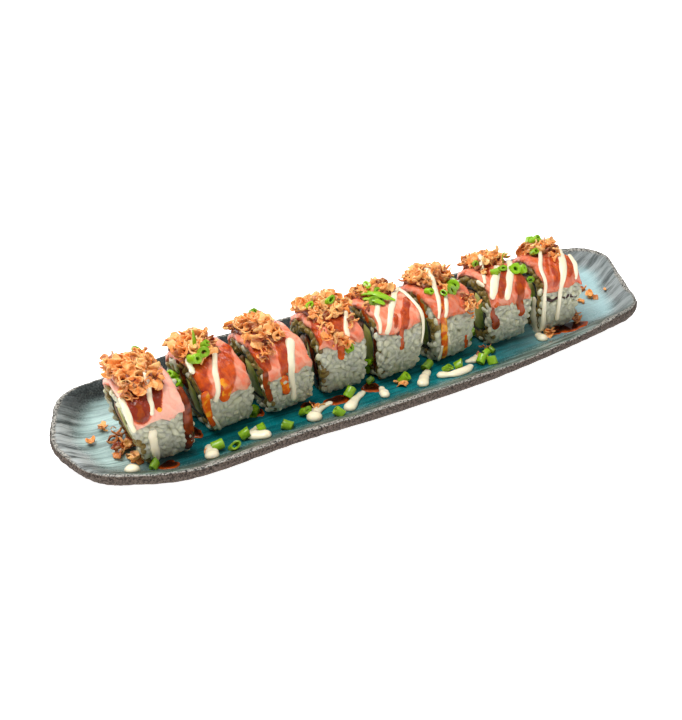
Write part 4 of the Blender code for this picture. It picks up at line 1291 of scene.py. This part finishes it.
def make_salmon(settings, number):
    """The draped salmon slice: full in the middle, thin at its edges, with glaze lying on it."""
    roll = ROLLS[number]
    draw = random.Random(600 + number)
    ripples = [noise_table(draw, 128) for _ in range(4)]
    half = roll["slice"] * MM / 2
    columns = settings.salmon_columns
    rows = settings.salmon_rows
    alongs = np.linspace(-half, half, rows)
    outer = []
    inner = []
    glaze = []
    runs = []
    for along in alongs:
        wave = wobble(ripples[0], along / MM * 0.22 + 20) * 5.0
        shares = np.linspace(0.0, 1.0, columns)
        turns = roll["edge"] + wave * (1 - shares) + shares * (BACK_EDGE + wave * 0.5 - roll["edge"])
        rim = min(half - abs(along), 3.4 * MM) / (3.4 * MM)
        rounding = 2.1 * MM * (1.0 - math.sqrt(max(0.0, 1.0 - (1.0 - rim) ** 2)))
        body = np.maximum(salmon_out(roll, turns) - rounding, GAP + 0.7 * MM)
        body += wobble(ripples[1], along / MM * 0.3 + turns * 0.05 + 30) * 0.35 * MM
        body += wobble(ripples[2], along / MM * 0.12 - turns * 0.09 + 60) * 0.3 * MM
        cover = glaze_cover(number, along + wobble(ripples[3], turns * 0.12 + 10) * 0.5 * MM, turns)
        body += cover * 0.3 * MM
        front_round = ease(0.0, 0.035, shares) * (1 - ease(0.97, 1.0, shares))
        body = GAP + (body - GAP) * (0.45 + 0.55 * front_round)
        sway = wobble(ripples[3], turns * 0.09 + 60 + (20 if along > 0 else 0))
        sway = sway * 0.8 * MM * (along / half) ** 4
        outer.append(in_roll(along + sway, skin(turns, body)[0]))
        inner.append(in_roll(along + sway, skin(turns, GAP * 0.5)[0]))
        glaze.append(cover)
        runs.append(run_at(turns) / MM)
    points, faces = thick_sheet(outer, inner)
    salmon = mesh_object(f"salmon_slice_{number + 1}", points, faces, finish_of(salmon_finish))
    glaze = np.concatenate(glaze)
    runs = np.concatenate(runs)
    sides = np.repeat(alongs / MM, columns)
    film = SALMON_FILMS[number]
    covered = np.where(glaze > 0.02, film + (GLAZE_DEPTHS[number] - film) * glaze, film)
    set_attribute(salmon, "glaze", np.concatenate([covered, glaze * 0.0]))
    set_attribute(salmon, "run", np.concatenate([runs, runs]) + 37.0 * number)
    set_attribute(salmon, "side", np.concatenate([sides, sides - 3.0]))
    place_in_row(salmon, roll)
    return finish_piece(salmon, "salmon", f"salmon_{number + 1}")


def flake_shapes(settings):
    """Curled shreds of fried onion from a small grid: narrowed, bent, twisted and given a crisp thickness."""
    shapes = []
    draw = random.Random(21)
    for _ in range(12):
        bpy.ops.mesh.primitive_grid_add(x_subdivisions=6, y_subdivisions=3, size=1.0)
        shred = bpy.context.active_object
        table = noise_table(draw, 64)
        width = draw.uniform(0.13, 0.24) if len(shapes) < 5 else draw.uniform(0.34, 0.60)
        curl = draw.choice((-1, 1)) * draw.uniform(1.0, 3.9)
        cup = draw.uniform(0.2, 1.2)
        sway = draw.uniform(-0.25, 0.25)
        twist = draw.uniform(-1.2, 1.2)
        for vert in shred.data.vertices:
            along = vert.co.x
            ragged = 1.0 + 0.4 * float(wobble(table, along * 5 + 10 + (3 if vert.co.y > 0 else 0)))
            side = vert.co.y * width * ragged * (1.12 - 1.3 * along * along)
            lift = cup * side * side / width
            angle = twist * along
            side, lift = (side * math.cos(angle) - lift * math.sin(angle),
                          side * math.sin(angle) + lift * math.cos(angle))
            turn = curl * along
            radius = 1.0 / curl if abs(curl) > 0.2 else 5.0
            vert.co.x = (radius - lift) * math.sin(turn if abs(curl) > 0.2 else along / 5.0)
            vert.co.z = radius - (radius - lift) * math.cos(turn if abs(curl) > 0.2 else along / 5.0)
            vert.co.y = side + sway * along * along + 0.05 * float(wobble(table, along * 9 + 40))
            vert.co.z += 0.05 * float(wobble(table, along * 8 + vert.co.y * 7 + 30))
        thickness = settings.flake_thickness / settings.flake_length
        add_modifier(shred, "SOLIDIFY", thickness=thickness, offset=0.0)
        add_modifier(shred, "SUBSURF", levels=1)
        shapes.append(take_shape(shred))
    return shapes


def flake_matrix(draw, place, size, flat):
    """A random turn for a flake, flatter where flat is near 1."""
    tilt = (1.0 - flat) * 1.3
    turn = (Matrix.Rotation(draw.uniform(0, math.tau), 4, "Z") @ Matrix.Rotation(draw.gauss(0, tilt), 4, "X")
            @ Matrix.Rotation(draw.gauss(0, tilt), 4, "Y"))
    return Matrix.Translation(place) @ turn @ Matrix.Diagonal((size, size, size, 1.0))


def make_onion(settings, number):
    """A heap of crisp onion: a rough low core, coloured near black-brown as painted shade for the gaps, under
    loose curled flakes that are lighter the higher they lie.
    """
    roll = ROLLS[number]
    heap = HEAPS[number]
    draw = random.Random(700 + number)
    rows, columns = 22, 26
    outer = []
    inner = []
    for row in range(rows):
        along = (heap["left"] + (heap["right"] - heap["left"]) * (0.05 + 0.9 * row / (rows - 1))) * MM
        shares = 0.05 + 0.9 * np.linspace(0.0, 1.0, columns)
        turns = heap["front"] + (heap["back"] - heap["front"]) * shares
        bumps = np.array([draw.uniform(-0.8, 0.5) for _ in range(columns)]) * MM
        top = heap_out(roll, heap, turns, along) - 0.7 * MM + bumps * ((0 < row < rows - 1) * 1.0)
        base = salmon_out(roll, turns) - 0.1 * MM
        outer.append(in_roll(along, skin(turns, np.maximum(top, base + 0.2 * MM))[0]))
        inner.append(in_roll(along, skin(turns, base)[0]))
    points, faces = thick_sheet(outer, inner)
    bed = mesh_object(f"onion_bed_{number + 1}", points, faces, finish_of(onion_finish))
    # The bed takes the darkest tint: painted shade for the gaps between the flakes
    set_attribute(bed, "tint", [0.06] * len(points))
    place_in_row(bed, roll)
    finish_piece(bed, "onion", f"onion_{number + 1}")

    places = []
    tints = []
    area = (heap["right"] - heap["left"]) * (heap["back"] - heap["front"]) * 0.3
    total = int(area * settings.flakes_per_area * (1.5 if number in SHREDDED else 1.0))
    for count in range(total):
        across = draw.uniform(-1.0, 1.0)
        depth = draw.uniform(-1.0, 1.0)
        if across ** 4 + depth ** 4 > 0.95:
            continue
        turn = (heap["front"] + heap["back"]) / 2 + depth * (heap["back"] - heap["front"]) / 2
        along = ((heap["left"] + heap["right"]) / 2 + across * (heap["right"] - heap["left"]) / 2) * MM
        layer = draw.random() ** 1.6
        out = float(heap_out(roll, heap, turn, along)) + (layer * 1.9 - 0.5) * MM
        point = in_roll(along, skin(turn, out)[0])
        size = settings.flake_length * draw.choice((0.5, 0.65, 0.8, 0.9, 1.0, 1.2))
        shape = draw.randrange(7) if number in SHREDDED else draw.randrange(3, 12)
        places.append((shape, flake_matrix(draw, point, size, 0.2 if number in SHREDDED else 0.35)))
        # Flakes higher in the heap get a lighter tint: painted light on top, painted shade lower down
        tints.append(usual_tint(draw, 0.52, 0.26, 0.12 * layer))
    for turn, along, spread_mm, patch in ONION_PATCHES.get(number, ()):
        for _ in range(patch):
            at = along * MM + draw.gauss(0, 0.5) * spread_mm * MM
            angle = turn + draw.gauss(0, 0.5) * spread_mm * 3.4
            out = float(salmon_out(roll, angle)) + draw.uniform(0.3, 1.8) * MM
            point = in_roll(at, skin(angle, out)[0])
            size = settings.flake_length * draw.choice((0.5, 0.6, 0.75, 0.9))
            places.append((draw.randrange(12), flake_matrix(draw, point, size, 0.3)))
            tints.append(usual_tint(draw))
    shapes = settings_shapes("flake", settings, flake_shapes)
    flakes = scatter(f"onion_flakes_{number + 1}", shapes, places, tints, finish_of(onion_finish))
    place_in_row(flakes, roll)
    return finish_piece(flakes, "onion", f"onion_{number + 1}")


def scallion_shapes(settings):
    """Scallion slices from a cylinder: hollow, a little oval, thin or thick walled."""
    shapes = []
    draw = random.Random(31)
    for _ in range(6):
        bpy.ops.mesh.primitive_cylinder_add(vertices=18, radius=1.0, depth=draw.uniform(1.5, 2.5),
                                            end_fill_type="NOTHING")
        slice_ = bpy.context.active_object
        bpy.ops.object.mode_set(mode="EDIT")
        bpy.ops.mesh.select_all(action="SELECT")
        bpy.ops.mesh.subdivide(number_cuts=1)
        bpy.ops.transform.resize(value=(1.0, draw.uniform(0.7, 1.0), 1.0), center_override=(0.0, 0.0, 0.0))
        bpy.ops.object.mode_set(mode="OBJECT")
        table = noise_table(draw, 16)
        slope = draw.uniform(-0.35, 0.35)
        for vert in slice_.data.vertices:
            angle = math.atan2(vert.co.y, vert.co.x)
            swell = 1.0 + 0.08 * float(wobble(table, 8 + angle * 1.2)) + 0.05 * abs(vert.co.z)
            vert.co.x *= swell
            vert.co.y *= swell
            vert.co.z = vert.co.z * (1.0 + 0.12 * math.sin(angle + table[3] * 3)) + slope * vert.co.x
        add_modifier(slice_, "SOLIDIFY", thickness=draw.choice((0.38, 0.48, 0.62)), offset=-1.0)
        add_modifier(slice_, "BEVEL", width=0.08, segments=2, limit_method="ANGLE",
                     angle_limit=math.radians(50.0))
        shapes.append(take_shape(slice_))
    return shapes


def scallion_matrix(draw, place, axis, size):
    """Sets a scallion slice down with its tube along an axis."""
    turn = Vector(axis).normalized().to_track_quat("Z", "Y").to_matrix().to_4x4()
    spin = Matrix.Rotation(draw.uniform(0, math.tau), 4, "Z")
    return Matrix.Translation(place) @ turn @ spin @ Matrix.Diagonal((size, size, size, 1.0))


def make_scallions(settings, surface):
    """All scallion slices, on the heaps, on the fallen mayonnaise and on the plate."""
    draw = random.Random(41)
    places = []
    tints = []
    for number, greens in enumerate(HEAP_SCALLIONS):
        roll = ROLLS[number]
        heap = HEAPS[number]
        to_row = roll_matrix(roll)
        for turn, along, size in greens:
            out = float(topping_out(number, turn, along * MM)) + 1.0 * MM
            if turn > heap["front"] and turn < heap["back"]:
                out += 0.6 * MM
            point = to_row @ Vector(in_roll(along * MM, skin(turn, out)[0]))
            axis = Vector((draw.uniform(-0.6, 0.6), -1.0, draw.uniform(0.3, 1.0)))
            places.append((draw.randrange(6), scallion_matrix(draw, point, axis, size * MM * 0.95)))
            tints.append(draw.uniform(0.45, 1.0))
    for number, greens in FACE_SCALLIONS.items():
        for across, up, size in greens:
            half = ROLLS[number]["slice"] * MM / 2 + size * 0.8 * MM
            point = roll_matrix(ROLLS[number]) @ Vector(in_roll(-half, np.array((across, up)) * MM))
            axis = Vector((-1.0, draw.uniform(-1.4, 0.2), draw.uniform(0.2, 1.2)))
            places.append((draw.randrange(6), scallion_matrix(draw, point, axis, size * MM * 0.95)))
            tints.append(draw.uniform(0.5, 1.0))
    for strand in MAYO_STRANDS:
        for x, y in strand["greens"]:
            point = Vector((x * MM, y * MM, surface(x * MM, y * MM) + 3.0 * MM))
            axis = Vector((0.8 + draw.uniform(-0.4, 0.4), draw.uniform(-0.9, 0.6), draw.uniform(0.2, 0.8)))
            places.append((draw.randrange(6), scallion_matrix(draw, point, axis, 2.3 * MM)))
            tints.append(draw.uniform(0.3, 0.9))
    for x, y in PLATE_SCALLIONS:
        point = Vector((x * MM, y * MM, surface(x * MM, y * MM) + 1.9 * MM))
        axis = Vector((draw.uniform(-1, 1), draw.uniform(-1, 1), draw.uniform(0.1, 0.7)))
        places.append((draw.randrange(6), scallion_matrix(draw, point, axis, draw.uniform(2.1, 2.6) * MM)))
        tints.append(draw.uniform(0.25, 0.8))
    greens = scatter("scallion_slices", settings_shapes("scallion", settings, scallion_shapes), places, tints,
                     finish_of(scallion_finish))
    return finish_piece(greens, "scallion")


def make_slivers():
    """Long slivers of scallion that stand or lie on the heaps."""
    steps = 18
    shapes = []
    for number, slivers in SLIVERS.items():
        for knots in slivers:
            along, turn, out, width = through_knots(knots, steps)
            places, normals = skin(turn, out * MM)
            ups = np.stack([np.full(steps, 0.3), normals[:, 0] - 0.6, normals[:, 1] * 0.4], -1)
            points, faces = tube(in_roll(along * MM, places), ups, width * MM, width * 0.35 * MM, 10)
            matrix = np.array(roll_matrix(ROLLS[number]))
            shapes.append((points @ matrix[:3, :3].T + matrix[:3, 3], faces))
    points, faces = merge_shapes(shapes)
    slivers = mesh_object("scallion_slivers", points, faces, finish_of(scallion_finish))
    set_attribute(slivers, "tint", [0.85] * len(points))
    return finish_piece(slivers, "scallion")


def make_plate_flakes(settings, surface):
    """Onion flakes that fell on the plate, singly and in small clumps."""
    draw = random.Random(51)
    places = []
    tints = []
    for x, y, pieces in PLATE_FLAKES:
        for piece in range(pieces):
            px = x * MM + draw.gauss(0, 1.5) * MM * (piece > 0)
            py = y * MM + draw.gauss(0, 1.5) * MM * (piece > 0)
            point = Vector((px, py, surface(px, py) + (0.9 + 0.5 * piece) * MM))
            size = settings.flake_length * draw.choice((0.5, 0.7, 0.9, 1.0))
            places.append((draw.randrange(12), flake_matrix(draw, point, size, 0.75)))
            tints.append(usual_tint(draw, 0.5, 0.22))
    flakes = scatter("onion_on_plate", settings_shapes("flake", settings, flake_shapes), places, tints,
                     finish_of(onion_finish))
    return finish_piece(flakes, "onion")


def smoothed(values):
    """Numbers along a line with their corners rounded off."""
    return np.convolve(np.pad(values, 2, mode="reflect", reflect_type="odd"), np.ones(5) / 5, mode="valid")


def through_knots(knots, steps):
    """Even steps along a line of knots, one rounded row of numbers for each of a knot's numbers."""
    shares = np.linspace(0.0, 1.0, steps)
    marks = np.linspace(0.0, 1.0, len(knots))
    return [smoothed(np.interp(shares, marks, column)) for column in np.array(knots, dtype=float).T]


def strand_on_roll(number, knots, flat, steps, sides=12, lift=0.0):
    """A soft strand through knots (along, angle, half width) that follows what lies uppermost on a roll."""
    shares = np.linspace(0.0, 1.0, steps)
    alongs, turns, widths = through_knots(knots, steps)
    draw = random.Random(int(900 + number * 17 + knots[0][0] * 3 + knots[0][1]))
    table = noise_table(draw, 64)
    alongs = (alongs + wobble(table, shares * 4 + 5) * 0.3) * MM
    outs = smoothed(topping_out(number, turns, alongs) + lift)
    places, normals = skin(turns, outs)
    middles = in_roll(alongs, places)
    ups = np.concatenate([np.zeros((steps, 1)), normals], axis=1)
    width = np.maximum(widths, 0.4) * MM * (1.0 + 0.12 * wobble(table, shares * 5 + 20))
    return tube(middles, ups, width, width * flat * (0.85 + 0.3 * ease(0.7, 0.95, shares)), sides)


def strand_on_face(number, knots, flat, steps=26, sides=12):
    """A soft strand through knots (across, up, half width) down the cut face at a roll's left end."""
    shares = np.linspace(0.0, 1.0, steps)
    across, up, widths = through_knots(knots, steps)
    table = noise_table(random.Random(950 + number), 64)
    width = np.maximum(widths, 0.4) * MM * (1.0 + 0.2 * wobble(table, shares * 6 + 20))
    half = ROLLS[number]["slice"] * MM / 2 + 0.5 * MM
    places = np.stack([across * MM, up * MM], -1)
    middles = in_roll(-half, places)
    return tube(middles, np.tile((-1.0, 0.0, 0.0), (steps, 1)), width, width * flat, sides)


def make_mayo_lines(settings, number):
    """The lines of mayonnaise that run over one roll."""
    shapes = [strand_on_roll(number, line, settings.mayo_flatness, 40) for line in MAYO_LINES[number]]
    shapes += [strand_on_face(number, line, settings.mayo_flatness) for kind, tint, *line in FACE_RUNS[number]
               if kind == "mayo"]
    points, faces = merge_shapes(shapes)
    mayo = mesh_object(f"mayo_lines_{number + 1}", points, faces, finish_of(mayo_finish))
    place_in_row(mayo, ROLLS[number])
    return finish_piece(mayo, "mayonnaise")


def make_glaze_drips(number):
    """Glaze that ran past the salmon and down the rice, thin and orange or thick and dark."""
    shapes = []
    tints = []
    for tint, *line in GLAZE_DRIPS[number]:
        shapes.append(strand_on_roll(number, line, 0.34, 30, 14, -0.35 * MM))
        tints += [tint] * len(shapes[-1][0])
    for kind, tint, *line in FACE_RUNS[number]:
        if kind == "glaze":
            shapes.append(strand_on_face(number, line, 0.4))
            tints += [tint] * len(shapes[-1][0])
    if not shapes:
        return None
    points, faces = merge_shapes(shapes)
    drips = mesh_object(f"glaze_drips_{number + 1}", points, faces, finish_of(glaze_finish))
    set_attribute(drips, "tint", tints)
    place_in_row(drips, ROLLS[number])
    return finish_piece(drips, "glaze")


def make_mayo_strand(number, strand, surface):
    """A strand of mayonnaise that fell on the plate, smooth and flat underneath."""
    line = np.array([(x * MM, y * MM) for x, y in strand["line"]])
    sizes = np.array(strand["size"])
    count = 22
    knots = np.linspace(0.0, 1.0, len(line))
    shares = np.linspace(0.0, 1.0, count)
    flat = np.stack([np.interp(shares, knots, line[:, axis]) for axis in (0, 1)], -1)
    kernel = np.ones(5) / 5
    for axis in (0, 1):
        padded = np.pad(flat[:, axis], 2, mode="reflect", reflect_type="odd")
        flat[:, axis] = np.convolve(padded, kernel, mode="valid")
    width = np.interp(shares, knots, sizes) * MM
    draw = random.Random(1000 + number)
    table = noise_table(draw, 64)
    width *= 1.0 + 0.14 * wobble(table, shares * 6 + 4)
    height = width * 0.72
    middles = np.array([(x, y, surface(x, y) + 0.45 * h) for (x, y), h in zip(flat, height)])
    points, faces = tube(middles, np.tile((0.0, 0.0, 1.0), (count, 1)), width, height, 16)
    for point in points:
        floor = surface(point[0], point[1]) + 0.2 * MM
        point[2] = max(point[2], floor)
    drop = mesh_object(f"mayo_drop_{number}", points, faces, finish_of(mayo_finish))
    return finish_piece(drop, "mayonnaise", f"mayo_{number}")


def make_puddles(surface):
    """Small pools of glaze on the plate, domed, with an uneven edge."""
    shapes = []
    draw = random.Random(61)
    tints = []
    for x, y, reach_x, reach_y in PUDDLES:
        bpy.ops.mesh.primitive_circle_add(vertices=40, radius=1.0, fill_type="NGON")
        pool = bpy.context.active_object
        bpy.ops.object.mode_set(mode="EDIT")
        bpy.ops.mesh.select_all(action="SELECT")
        for thickness in (0.1, 0.16, 0.22, 0.25):
            bpy.ops.mesh.inset(thickness=thickness)
        bpy.ops.object.mode_set(mode="OBJECT")
        points, faces = take_shape(pool)
        table = noise_table(draw, 32)
        radius = np.minimum(1.0, np.hypot(points[:, 0], points[:, 1]))
        angle = np.arctan2(points[:, 1], points[:, 0])
        uneven = 1.0 + 0.22 * wobble(table, 16 + angle * 1.6) + 0.1 * wobble(table, 40 + angle * 4.0)
        top = points.copy()
        top[:, 0] = x * MM + points[:, 0] * uneven * reach_x * MM
        top[:, 1] = y * MM + points[:, 1] * uneven * reach_y * MM
        floor = np.array([surface(px, py) for px, py in top[:, :2]])
        bottom = top.copy()
        bottom[:, 2] = floor - 0.3 * MM
        top[:, 2] = floor + 0.15 * MM + 0.75 * MM * np.sqrt(np.maximum(0.0, 1.0 - radius ** 2))
        rim = [place for place in range(len(points)) if radius[place] > 0.999]
        rim.sort(key=lambda place: angle[place])
        lower = len(points)
        walls = [(a, b, lower + b, lower + a) for a, b in zip(rim, rim[1:] + rim[:1])]
        under = [tuple(lower + corner for corner in reversed(face)) for face in faces]
        shapes.append((np.concatenate([top, bottom]), faces + under + walls))
        tints += list(1.0 - 0.8 * radius ** 3) * 2
    points, faces = merge_shapes(shapes)
    pools = mesh_object("glaze_pools", points, faces, finish_of(glaze_finish))
    set_attribute(pools, "tint", tints)
    return finish_piece(pools, "glaze")


def plate_surface():
    """A function that gives the plate's height at a place seen from above."""
    plate = bpy.data.objects.get("stoneware_plate")
    if plate is None:
        raise RuntimeError("the plate is made before what lies on it")
    tree = BVHTree.FromPolygons([vert.co[:] for vert in plate.data.vertices],
                                [tuple(face.vertices) for face in plate.data.polygons])

    def height(x, y):
        hit = tree.ray_cast((x, y, 0.2), (0.0, 0.0, -1.0))[0]
        return hit.z if hit else 0.0

    return height


def colour_property(name, description, default):
    """A colour in the panel."""
    return bpy.props.FloatVectorProperty(name=name, description=description, default=default, subtype="COLOR",
                                         size=3, min=0.0, max=1.0)


def length_property(name, description, default):
    """A length in the panel."""
    return bpy.props.FloatProperty(name=name, description=description, default=default, min=0.0,
                                   subtype="DISTANCE", unit="LENGTH", precision=5)


class UramakiColours(bpy.types.PropertyGroup):
    """Colours of the food and of the plate."""

    rice: colour_property("Rice", "Lightest rice grains", (0.63, 0.62, 0.44))
    salmon: colour_property("Salmon", "Raw salmon flesh", (0.90, 0.19, 0.085))
    fat: colour_property("Fat lines", "Pale lines through the salmon", (0.94, 0.55, 0.38))
    glaze: colour_property("Glaze", "Glaze where it lies thin", (0.66, 0.092, 0.003))
    onion: colour_property("Onion", "Fried onion flakes", (1.0, 0.34, 0.07))
    scallion: colour_property("Scallion", "Brightest scallion slices", (0.30, 0.58, 0.010))
    mayonnaise: colour_property("Mayonnaise", "Drizzled mayonnaise", (0.93, 0.83, 0.60))
    nori: colour_property("Nori", "The seaweed sheet", (0.018, 0.025, 0.012))
    avocado: colour_property("Avocado", "Inside of the avocado", (0.62, 0.56, 0.17))
    filling: colour_property("Filling", "The brown filling", (0.36, 0.14, 0.04))
    pool: colour_property("Plate middle", "Glaze pooled on the plate's floor", (0.003, 0.185, 0.205))
    ends: colour_property("Plate ends", "Paler glaze towards both ends", (0.40, 0.56, 0.53))
    table: colour_property("Table", "The surface under the plate", (0.88, 0.88, 0.88))


class UramakiSizes(bpy.types.PropertyGroup):
    """Sizes of the small things that are repeated."""

    outline_steps: bpy.props.IntProperty(
        name="Rim steps", description="Points of the rim between two corners", default=16, min=2, max=40)
    grain_length: length_property("Grain length", "Length of a rice grain", 6.2 * MM)
    grain_width: length_property("Grain width", "Width of a rice grain", 3.4 * MM)
    grain_spacing: length_property("Grain spacing", "Closest that two grains lie", 2.35 * MM)
    flake_length: length_property("Flake length", "Length of a large onion flake", 8.2 * MM)
    flake_thickness: length_property("Flake thickness", "Thickness of an onion flake", 0.85 * MM)
    flakes_per_area: bpy.props.FloatProperty(
        name="Flake density", description="Onion flakes for each square millimetre of a heap", default=0.34,
        min=0.01)
    mayo_flatness: bpy.props.FloatProperty(
        name="Mayonnaise flatness", description="Height of a line for its width", default=0.6, min=0.2,
        max=1.0, subtype="FACTOR")
    salmon_columns: bpy.props.IntProperty(
        name="Salmon columns", description="Points round a slice of salmon", default=64, min=12, max=200)
    salmon_rows: bpy.props.IntProperty(
        name="Salmon rows", description="Points along a slice of salmon", default=40, min=8, max=200)


class UramakiOperator:
    """What the piece operators share."""

    bl_options = {"REGISTER", "UNDO"}

    @property
    def sizes(self):
        """The sizes that the panel holds."""
        return bpy.context.scene.uramaki_sizes


class URAMAKI_OT_stage(UramakiOperator, bpy.types.Operator):
    """Adds the table, the soft lights and the camera"""

    bl_idname = "uramaki.stage"
    bl_label = "Stage"

    def execute(self, context):
        bpy.ops.mesh.primitive_plane_add(size=6.0, location=(0.0, 0.0, 0.0))
        table = context.active_object
        table.name = "table"
        table.data.transform(Matrix.Translation((0.0, 0.0, -0.0002)))
        table.data.materials.append(finish_of(table_finish))
        world = bpy.data.worlds.new("white_room")
        world.use_nodes = True
        background = world.node_tree.nodes["Background"]
        background.inputs["Color"].default_value = (0.95, 0.97, 1.0, 1.0)
        background.inputs["Strength"].default_value = 0.27
        context.scene.world = world
        for name, place, width, height, power in (
                ("window_light", (-0.25, 0.85, 0.60), 1.2, 0.5, 4.0),
                ("front_light", (0.5, -0.9, 0.6), 0.8, 0.8, 1.2),
                ("key_light", (-0.32, 0.02, 0.92), 0.5, 0.5, 8.5),
                ("top_light", (0.1, 0.1, 1.1), 1.6, 1.2, 3.4)):
            light = bpy.data.lights.new(name, "AREA")
            light.shape = "RECTANGLE"
            light.size = width
            light.size_y = height
            light.energy = power
            lamp = bpy.data.objects.new(name, light)
            lamp.location = place
            lamp.rotation_mode = "QUATERNION"
            lamp.rotation_quaternion = (-Vector(place)).to_track_quat("-Z", "Y")
            context.scene.collection.objects.link(lamp)
        turn, rise = math.radians(VIEW_TURN), math.radians(VIEW_ELEVATION)
        forward = Vector((math.cos(rise) * math.sin(turn), math.cos(rise) * math.cos(turn), -math.sin(rise)))
        lens = bpy.data.cameras.new("camera")
        lens.lens = LENS
        lens.clip_start = 0.01
        camera = bpy.data.objects.new("camera", lens)
        camera.location = Vector(VIEW_CENTRE) - forward * VIEW_DISTANCE
        camera.rotation_mode = "QUATERNION"
        camera.rotation_quaternion = forward.to_track_quat("-Z", "Y")
        context.scene.collection.objects.link(camera)
        context.scene.camera = camera
        context.scene.view_settings.view_transform = "Standard"
        return {"FINISHED"}


class URAMAKI_OT_plate(UramakiOperator, bpy.types.Operator):
    """Makes the long stoneware plate"""

    bl_idname = "uramaki.plate"
    bl_label = "Plate"

    def execute(self, context):
        make_plate(self.sizes)
        return {"FINISHED"}


class URAMAKI_OT_rice(UramakiOperator, bpy.types.Operator):
    """Makes the rice of the eight rolls, grain by grain over a packed core"""

    bl_idname = "uramaki.rice"
    bl_label = "Rice"

    def execute(self, context):
        for number in range(len(ROLLS)):
            make_rice(self.sizes, number)
        return {"FINISHED"}


class URAMAKI_OT_core(UramakiOperator, bpy.types.Operator):
    """Makes the nori and what it wraps: avocado in front and the brown filling behind it"""

    bl_idname = "uramaki.core"
    bl_label = "Nori and filling"

    def execute(self, context):
        for number in range(len(ROLLS)):
            make_nori(number)
            make_core_strip(number, "avocado", True)
            make_core_strip(number, "filling", False)
        return {"FINISHED"}


class URAMAKI_OT_salmon(UramakiOperator, bpy.types.Operator):
    """Drapes a slice of salmon over each roll"""

    bl_idname = "uramaki.salmon"
    bl_label = "Salmon"

    def execute(self, context):
        for number in range(len(ROLLS)):
            make_salmon(self.sizes, number)
        return {"FINISHED"}


class URAMAKI_OT_onion(UramakiOperator, bpy.types.Operator):
    """Heaps fried onion on the rolls and drops some on the plate"""

    bl_idname = "uramaki.onion"
    bl_label = "Fried onion"

    def execute(self, context):
        for number in range(len(ROLLS)):
            make_onion(self.sizes, number)
        make_plate_flakes(self.sizes, plate_surface())
        return {"FINISHED"}


class URAMAKI_OT_glaze(UramakiOperator, bpy.types.Operator):
    """Runs glaze down the rice and pools it on the plate"""

    bl_idname = "uramaki.glaze"
    bl_label = "Glaze"

    def execute(self, context):
        for number in range(len(ROLLS)):
            make_glaze_drips(number)
        make_puddles(plate_surface())
        return {"FINISHED"}


class URAMAKI_OT_mayonnaise(UramakiOperator, bpy.types.Operator):
    """Drizzles mayonnaise over the rolls and onto the plate"""

    bl_idname = "uramaki.mayonnaise"
    bl_label = "Mayonnaise"

    def execute(self, context):
        surface = plate_surface()
        for number in range(len(ROLLS)):
            make_mayo_lines(self.sizes, number)
        for number, strand in enumerate(MAYO_STRANDS, 1):
            make_mayo_strand(number, strand, surface)
        return {"FINISHED"}


class URAMAKI_OT_scallion(UramakiOperator, bpy.types.Operator):
    """Scatters scallion slices over the rolls and the plate"""

    bl_idname = "uramaki.scallion"
    bl_label = "Scallion"

    def execute(self, context):
        make_scallions(self.sizes, plate_surface())
        make_slivers()
        return {"FINISHED"}


STEPS = ("stage", "plate", "rice", "core", "salmon", "onion", "glaze", "mayonnaise", "scallion")


class URAMAKI_PT_panel(bpy.types.Panel):
    """Lists the steps, the sizes and the colours"""

    bl_idname = "URAMAKI_PT_panel"
    bl_label = "Uramaki rolls"
    bl_space_type = "VIEW_3D"
    bl_region_type = "UI"
    bl_category = "Rolls"

    def draw(self, context):
        for step in STEPS:
            self.layout.operator(f"uramaki.{step}")
        for group in (context.scene.uramaki_sizes, context.scene.uramaki_colours):
            for name in group.__annotations__:
                self.layout.prop(group, name)


CLASSES = (
    UramakiColours, UramakiSizes, URAMAKI_OT_stage, URAMAKI_OT_plate, URAMAKI_OT_rice, URAMAKI_OT_core,
    URAMAKI_OT_salmon, URAMAKI_OT_onion, URAMAKI_OT_glaze, URAMAKI_OT_mayonnaise, URAMAKI_OT_scallion,
    URAMAKI_PT_panel,
)


def register():
    """Adds the operators, the panel and its settings to Blender."""
    for kind in CLASSES:
        bpy.utils.register_class(kind)
    bpy.types.Scene.uramaki_colours = bpy.props.PointerProperty(type=UramakiColours)
    bpy.types.Scene.uramaki_sizes = bpy.props.PointerProperty(type=UramakiSizes)


def unregister():
    """Takes them out again."""
    del bpy.types.Scene.uramaki_sizes
    del bpy.types.Scene.uramaki_colours
    for kind in reversed(CLASSES):
        bpy.utils.unregister_class(kind)


def main():
    """Makes the whole scene."""
    register()
    for step in STEPS:
        getattr(bpy.ops.uramaki, step)()


if __name__ == "__main__":
    main()
